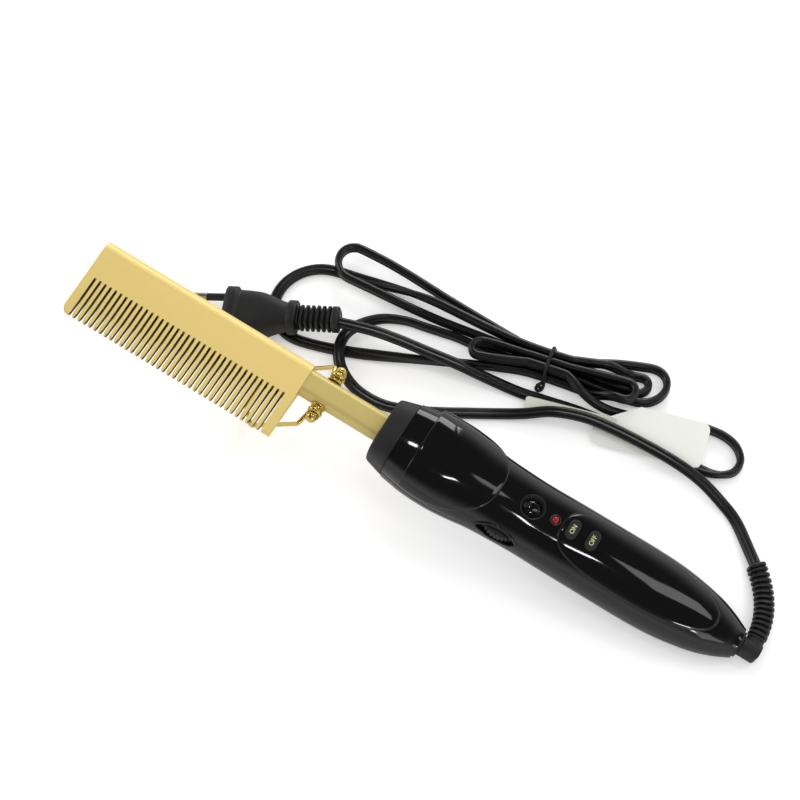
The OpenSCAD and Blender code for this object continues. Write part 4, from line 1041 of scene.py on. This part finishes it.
def eye_outline(half_l, half_h):
    """An eye shape from end to end and back: [along, up]."""
    count = 28
    upper = [(-half_l * math.cos(math.pi * i / count), half_h * math.sin(math.pi * i / count) ** 1.35)
             for i in range(count + 1)]
    return upper + [(-x, -z) for x, z in upper[1:-1]]


def button_cutter():
    """What the two buttons' openings take out of a shell or its inlay."""
    return joined(*[moved(loft([obround(BUTTON_L + 2 * BUTTON_GAP, BUTTON_W + 2 * BUTTON_GAP, z)
                                for z in (9, 20)]), (HANDLE_X + d, 0, 0)) for d in BUTTONS.values()])


def moved(bm, vec):
    """The same bmesh, moved."""
    bmesh.ops.translate(bm, vec=vec, verts=bm.verts)
    return bm


def disc_cutter(d, r, low, high):
    """A round hole's cutter at a distance along the handle."""
    return lathe([(0, low), (r, low), (r, high), (0, high)], (HANDLE_X + d, 0, 0))


class AddHandle(Operator):
    """Moulds the two shells, the hood, the inlay, the collar and the wheel's raised lip"""
    bl_idname = "hot_comb.add_handle"
    bl_label = "Handle"

    def execute(self, context):
        OUTLINE_CACHE.clear()
        self.shells()
        self.covers()
        self.collar()
        self.wheel_lip()
        refined("tail_socket", "tail_socket_ring", 0.25, 3)
        refined("swivel_elbow", "swivel_elbow_block", 0.7, 4)
        return {"FINISHED"}

    def shells(self):
        above, below = (8, 20), (-20, -7)
        upper = piece("handle_top", loft(half_shell(1), strips=True), "upper_shell", TOOL)
        cut(upper, disc_cutter(WINDOW_X, 6.0, *above), TOOL)
        cut(upper, disc_cutter(LAMP_X, 2.55, *above), TOOL)
        cut(upper, button_cutter(), TOOL)
        slot = [(HANDLE_X + WHEEL_X + x, SLOT_MIDDLE + z) for x, z in eye_outline(*SLOT_HALF)]
        cut(upper, loft([[(x, y, z) for x, z in slot] for y in (-24, -12)]), TOOL)
        lower = piece("handle_belly", loft(half_shell(-1), strips=True), "lower_shell", TOOL)
        for d, name in POSTS:
            cut(lower, disc_cutter(d, 3.0, *below), TOOL)
            deep = outline_at(d)[2] - 1
            well = lathe([(3.0, -deep), (4.2, -deep), (4.2, -4), (1.5, -4), (1.5, -7), (3.0, -7)],
                         (HANDLE_X + d, 0, 0))
            piece(name, well, "lower_shell", TOOL, replaces=False)

    def covers(self):
        hood = cover(hood_rim, HOOD_MIDDLE, sizes().hood_rise / MM, 220)
        piece("hood", hood, "front_hood", TOOL, sharp=60)
        panel = cover(panel_rim, PANEL_MIDDLE, sizes().panel_rise / MM, 240)
        inlay = piece("inlay", panel, "top_panel", TOOL, sharp=60)
        cut(inlay, button_cutter(), TOOL, sharp=60)
        bead_r, proud, count = 0.28, 0.2, 160
        line = [on_shell(*panel_rim(i / count), proud) for i in range(count)]
        piece("inlay_bead", swept(line, radius=bead_r, closed=True), "top_panel", TOOL, sharp=70,
              finish="gloss_black", replaces=False)

    def collar(self):
        w, h, fit = sizes().hood_width / MM / 2 - 3.2, 12.2, 0.1
        # distance, what is added to the half width and half height, squareness
        rows = [(0, -4.6, -4.0, 3.4), (0.15, -3.6, -3.0, 3.4), (0.6, -2.75, -2.15, 3.4),
                (1.6, -2.25, -1.65, 3.4), (8.7, -0.15, -0.15, 3.2), (9.2, 0, 0, 3.2),
                (9.6, -0.1, -0.1, 3.2), (9.8, -0.5, -0.5, 3.2), (9.82, -1.4, -1.4, 3.1),
                (12.9, -1.4, -1.4, 3.1)]
        rings = [[section(COLLAR_X + d, w + a, h + b, e, turn) for turn in circle(120, 0.5)]
                 for d, a, b, e in rows]
        nose = piece("nose_collar", loft(rings), "collar", TOOL)
        cut(nose, bar(fit, COLLAR_X - 2, HANDLE_X + 5), TOOL)

    def wheel_lip(self):
        wire_r, proud = 0.75, 0.1
        path = []
        for x, z in eye_outline(*LIP_HALF):
            up = SLOT_MIDDLE + z
            w, h, _, e = outline_at(WHEEL_X + x)
            y = -w * (1 - min(abs(up) / h, 1) ** e) ** (1 / e)
            path.append((HANDLE_X + WHEEL_X + x, y + proud, up))
        piece("wheel_lip", swept(path, radius=wire_r, closed=True), "upper_shell", TOOL, sharp=70,
              replaces=False)


# --- controls -------------------------------------------------------------------------------

class AddControls(Operator):
    """Makes the window, the lamp, the buttons with ON and OFF, and the numbered wheel"""
    bl_idname = "hot_comb.add_controls"
    bl_label = "Controls"

    def execute(self, context):
        self.window()
        self.lamp()
        for word, d in BUTTONS.items():
            self.button(word, d)
        refined("dial_wheel", "ridged_wheel", 0.12)
        self.numbers()
        return {"FINISHED"}

    def window(self):
        top = outline_at(WINDOW_X)[1]
        place = (HANDLE_X + WINDOW_X, 0, 0)
        bezel = [(4.15, top - 4.4), (5.9, top - 4.4), (5.9, top - 0.25), (5.75, top - 0.08),
                 (5.5, top - 0.1), (5.3, top - 0.35), (4.5, top - 2.1), (4.32, top - 2.4),
                 (4.15, top - 2.6)]
        piece("window_ring", lathe(bezel, place, 96), "window_bezel", TOOL)
        dome, lens_r = 9.0, 4.05
        span = math.asin(lens_r / dome)
        arc = [(dome * math.sin(a), top - 1 - dome + dome * math.cos(a))
               for a in [span - span * i / 14 for i in range(15)]]
        lens = [(0, top - 4.2), (lens_r, top - 4.2)] + arc
        piece("window_lens", lathe(lens, place, 96), "dial_window", TOOL, sharp=50)

    def lamp(self):
        top = outline_at(LAMP_X)[1]
        place = (HANDLE_X + LAMP_X, 0, 0)
        dome = [(1.8 * math.cos(a), top - 0.6 + 1.8 * math.sin(a))
                for a in [math.pi / 2 * i / 10 for i in range(11)]]
        body = [(0, top - 4.6), (2.3, top - 4.6), (2.3, top - 3.6), (1.8, top - 3.6)] + dome
        piece("lamp", lathe(body, place, 48), "power_lamp", TOOL, sharp=50)
        ring = [(1.85, top - 3.4), (2.5, top - 3.4), (2.5, top), (2.42, top + 0.2), (2.25, top + 0.28),
                (2.0, top + 0.24), (1.88, top + 0.1)]
        piece("lamp_rim", lathe(ring, place, 64), "lamp_ring", TOOL, sharp=50)

    def button(self, word, d):
        top = outline_at(d)[1] + 1.1
        steps = [(1.6, 9.3), (1.6, 10.3), (0, 10.3), (0, top - 0.55), (-0.12, top - 0.28),
                 (-0.4, top - 0.1), (-0.9, top - 0.02), (-1.6, top)]
        cap = loft([obround(BUTTON_L + s, BUTTON_W + s, z) for s, z in steps])
        node = word + "_button"
        piece(word + "_key", moved(cap, (HANDLE_X + d, 0, 0)), node, TOOL)
        lettered(word + "_word", word.upper(), 2.9, (HANDLE_X + d, 0, top + 0.03), math.pi / 2, node,
                 "lettering")

    def numbers(self):
        reach = Vector((WINDOW_X - WHEEL_X, -WHEEL_Y))
        start = math.atan2(reach.y, reach.x)
        shown, step = 3, math.radians(40)
        for number in range(1, 7):
            turn = step * (number - shown)
            a = start + turn
            middle = (HANDLE_X + WHEEL_X + reach.length * math.cos(a),
                      WHEEL_Y + reach.length * math.sin(a), WHEEL_Z + WHEEL_T + 0.03)
            lettered(f"dial_number_{number}", str(number), 3.2, middle, turn + math.pi / 2,
                     "dial_wheel", "dial_print")


class FinishInnerPieces(Operator):
    """Gives every piece that keeps its frame shape its finish"""
    bl_idname = "hot_comb.finish_inner_pieces"
    bl_label = "Inner pieces"

    def execute(self, context):
        for name, node in NODES.items():
            node.data.materials.clear()
            node.data.materials.append(material(SLOT_OF[name]))
        return {"FINISHED"}


# --- stage ----------------------------------------------------------------------------------

# name, place, sides in metres, power in watts
LAMPS = (("key", (-0.3, 1.25, 0.75), (0.7, 0.5), 5.6),
         ("side", (-1.15, -0.1, 0.7), (0.4, 0.7), 2.4),
         ("front", (0.9, -0.7, 0.7), (0.4, 0.4), 1.0),
         ("streak", (0.21, -0.1, 1.02), (0.12, 0.03), 0.4),
         ("band_spark", (-0.085, 0.3, 1.0), (0.05, 0.05), 0.25),
         ("grip_sheen", (0.48, 0.3, 0.9), (0.26, 0.42), 0.9),
         ("tail_spark", (0.61, -0.64, 0.63), (0.12, 0.05), 0.5))


def facing(direction):
    """A turn that makes a camera or a lamp look back along a direction."""
    return direction.to_track_quat("Z", "Y").to_matrix().to_4x4()


class SetStage(Operator):
    """Sets the camera, the pale floor and the soft studio light"""
    bl_idname = "hot_comb.set_stage"
    bl_label = "Camera, floor and light"

    def execute(self, context):
        self.camera(context)
        self.floor()
        self.world(context)
        for lamp in LAMPS:
            self.lamp(*lamp)
        context.scene.view_settings.view_transform = "Standard"
        return {"FINISHED"}

    def camera(self, context):
        """The photograph's own view, from a metre away."""
        azimuth, elevation = math.radians(29.88), math.radians(63.06)
        target = Vector((0.002, 0.0053, 0.04))
        image_px, target_px = 800, (429.2, 452.2)
        back = Vector((math.sin(azimuth) * math.cos(elevation),
                       -math.cos(azimuth) * math.cos(elevation), math.sin(elevation)))
        data = bpy.data.cameras.new("camera")
        data.sensor_width = 36
        data.lens = 103.3
        data.clip_start = 0.05
        data.shift_x = (image_px / 2 - target_px[0]) / image_px
        data.shift_y = (target_px[1] - image_px / 2) / image_px
        camera = add_object("camera", data)
        camera.matrix_world = Matrix.Translation(target + back) @ facing(back)
        context.scene.camera = camera

    def floor(self):
        """A pale matt floor that glows a little to the camera, so that it fades out."""
        half_side, glow_level = 6, 0.32
        bm = bmesh.new()
        bmesh.ops.create_grid(bm, x_segments=8, y_segments=8, size=half_side)
        floor = add_object("floor", mesh_from("floor", bm))
        made = grained("floor", (0.93, 0.93, 0.93), 0.9, cloud=3, depth=0.001, shade=0.985,
                       Specular_IOR_Level=0, Emission_Color=(1, 1, 1, 1))
        tree = made.node_tree
        path = add_node(tree, "ShaderNodeLightPath")
        glow = add_node(tree, "ShaderNodeMath", {1: glow_level}, operation="MULTIPLY")
        link(tree, (path.outputs["Is Camera Ray"], glow.inputs[0]),
             (glow.outputs[0], tree.nodes["Principled BSDF"].inputs["Emission Strength"]))
        floor.data.materials.append(made)

    def world(self, context):
        """Even light on the object, and in reflections a sky that fades from the edge upwards."""
        diffuse_level, fade_to = 0.64, 0.12
        world = bpy.data.worlds.new("studio")
        context.scene.world = world
        world.use_nodes = True
        tree = world.node_tree
        sky = tree.nodes["Background"].inputs
        sky["Color"].default_value = (1, 1, 1, 1)
        path = add_node(tree, "ShaderNodeLightPath").outputs
        seen = add_node(tree, "ShaderNodeMath", operation="MAXIMUM")
        both = add_node(tree, "ShaderNodeMath", operation="MAXIMUM")
        level = add_node(tree, "ShaderNodeMapRange", {"To Min": diffuse_level})
        place = add_node(tree, "ShaderNodeTexCoord")
        split = add_node(tree, "ShaderNodeSeparateXYZ")
        fade = add_node(tree, "ShaderNodeMapRange",
                        {"From Min": 0.15, "From Max": 0.75, "To Min": 1.0, "To Max": fade_to},
                        interpolation_type="SMOOTHSTEP")
        link(tree, (place.outputs["Generated"], split.inputs[0]),
             (split.outputs["Z"], fade.inputs["Value"]), (fade.outputs["Result"], level.inputs["To Max"]),
             (path["Is Camera Ray"], seen.inputs[0]), (path["Is Glossy Ray"], seen.inputs[1]),
             (seen.outputs[0], both.inputs[0]), (path["Is Transmission Ray"], both.inputs[1]),
             (both.outputs[0], level.inputs["Value"]), (level.outputs["Result"], sky["Strength"]))

    def lamp(self, name, place, size, power):
        """A rectangular lamp turned to the tool."""
        data = bpy.data.lights.new(name, "AREA")
        data.shape = "RECTANGLE"
        data.size, data.size_y = size
        data.energy = power
        lamp = add_object(name, data)
        lamp.matrix_world = Matrix.Translation(place) @ facing(Vector(place) - Vector((0, 0.02, 0.03)))


class HotCombPanel(Panel):
    bl_idname = "VIEW3D_PT_hot_comb"
    bl_label = "Hot comb"
    bl_space_type = "VIEW_3D"
    bl_region_type = "UI"
    bl_category = "Hot comb"

    def draw(self, context):
        for group in (sizes(), colours()):
            box = self.layout.box()
            for key in group.__annotations__:
                box.prop(group, key)
        for step in STEPS:
            self.layout.operator(step.bl_idname)


STEPS = (SetStage, AddBoots, AddPlug, AddTieAndTag, AddCord, AddComb, AddStand, AddHandle,
         AddControls, FinishInnerPieces)
CLASSES = (HotCombSizes, HotCombColours, *STEPS, HotCombPanel)


def register():
    for item in CLASSES:
        bpy.utils.register_class(item)
    bpy.types.Scene.hot_comb_sizes = PointerProperty(type=HotCombSizes)
    bpy.types.Scene.hot_comb_colours = PointerProperty(type=HotCombColours)


def unregister():
    del bpy.types.Scene.hot_comb_colours
    del bpy.types.Scene.hot_comb_sizes
    for item in reversed(CLASSES):
        bpy.utils.unregister_class(item)


def main():
    register()
    for step in STEPS:
        group, name = step.bl_idname.split(".")
        getattr(getattr(bpy.ops, group), name)()


if __name__ == "__main__":
    main()
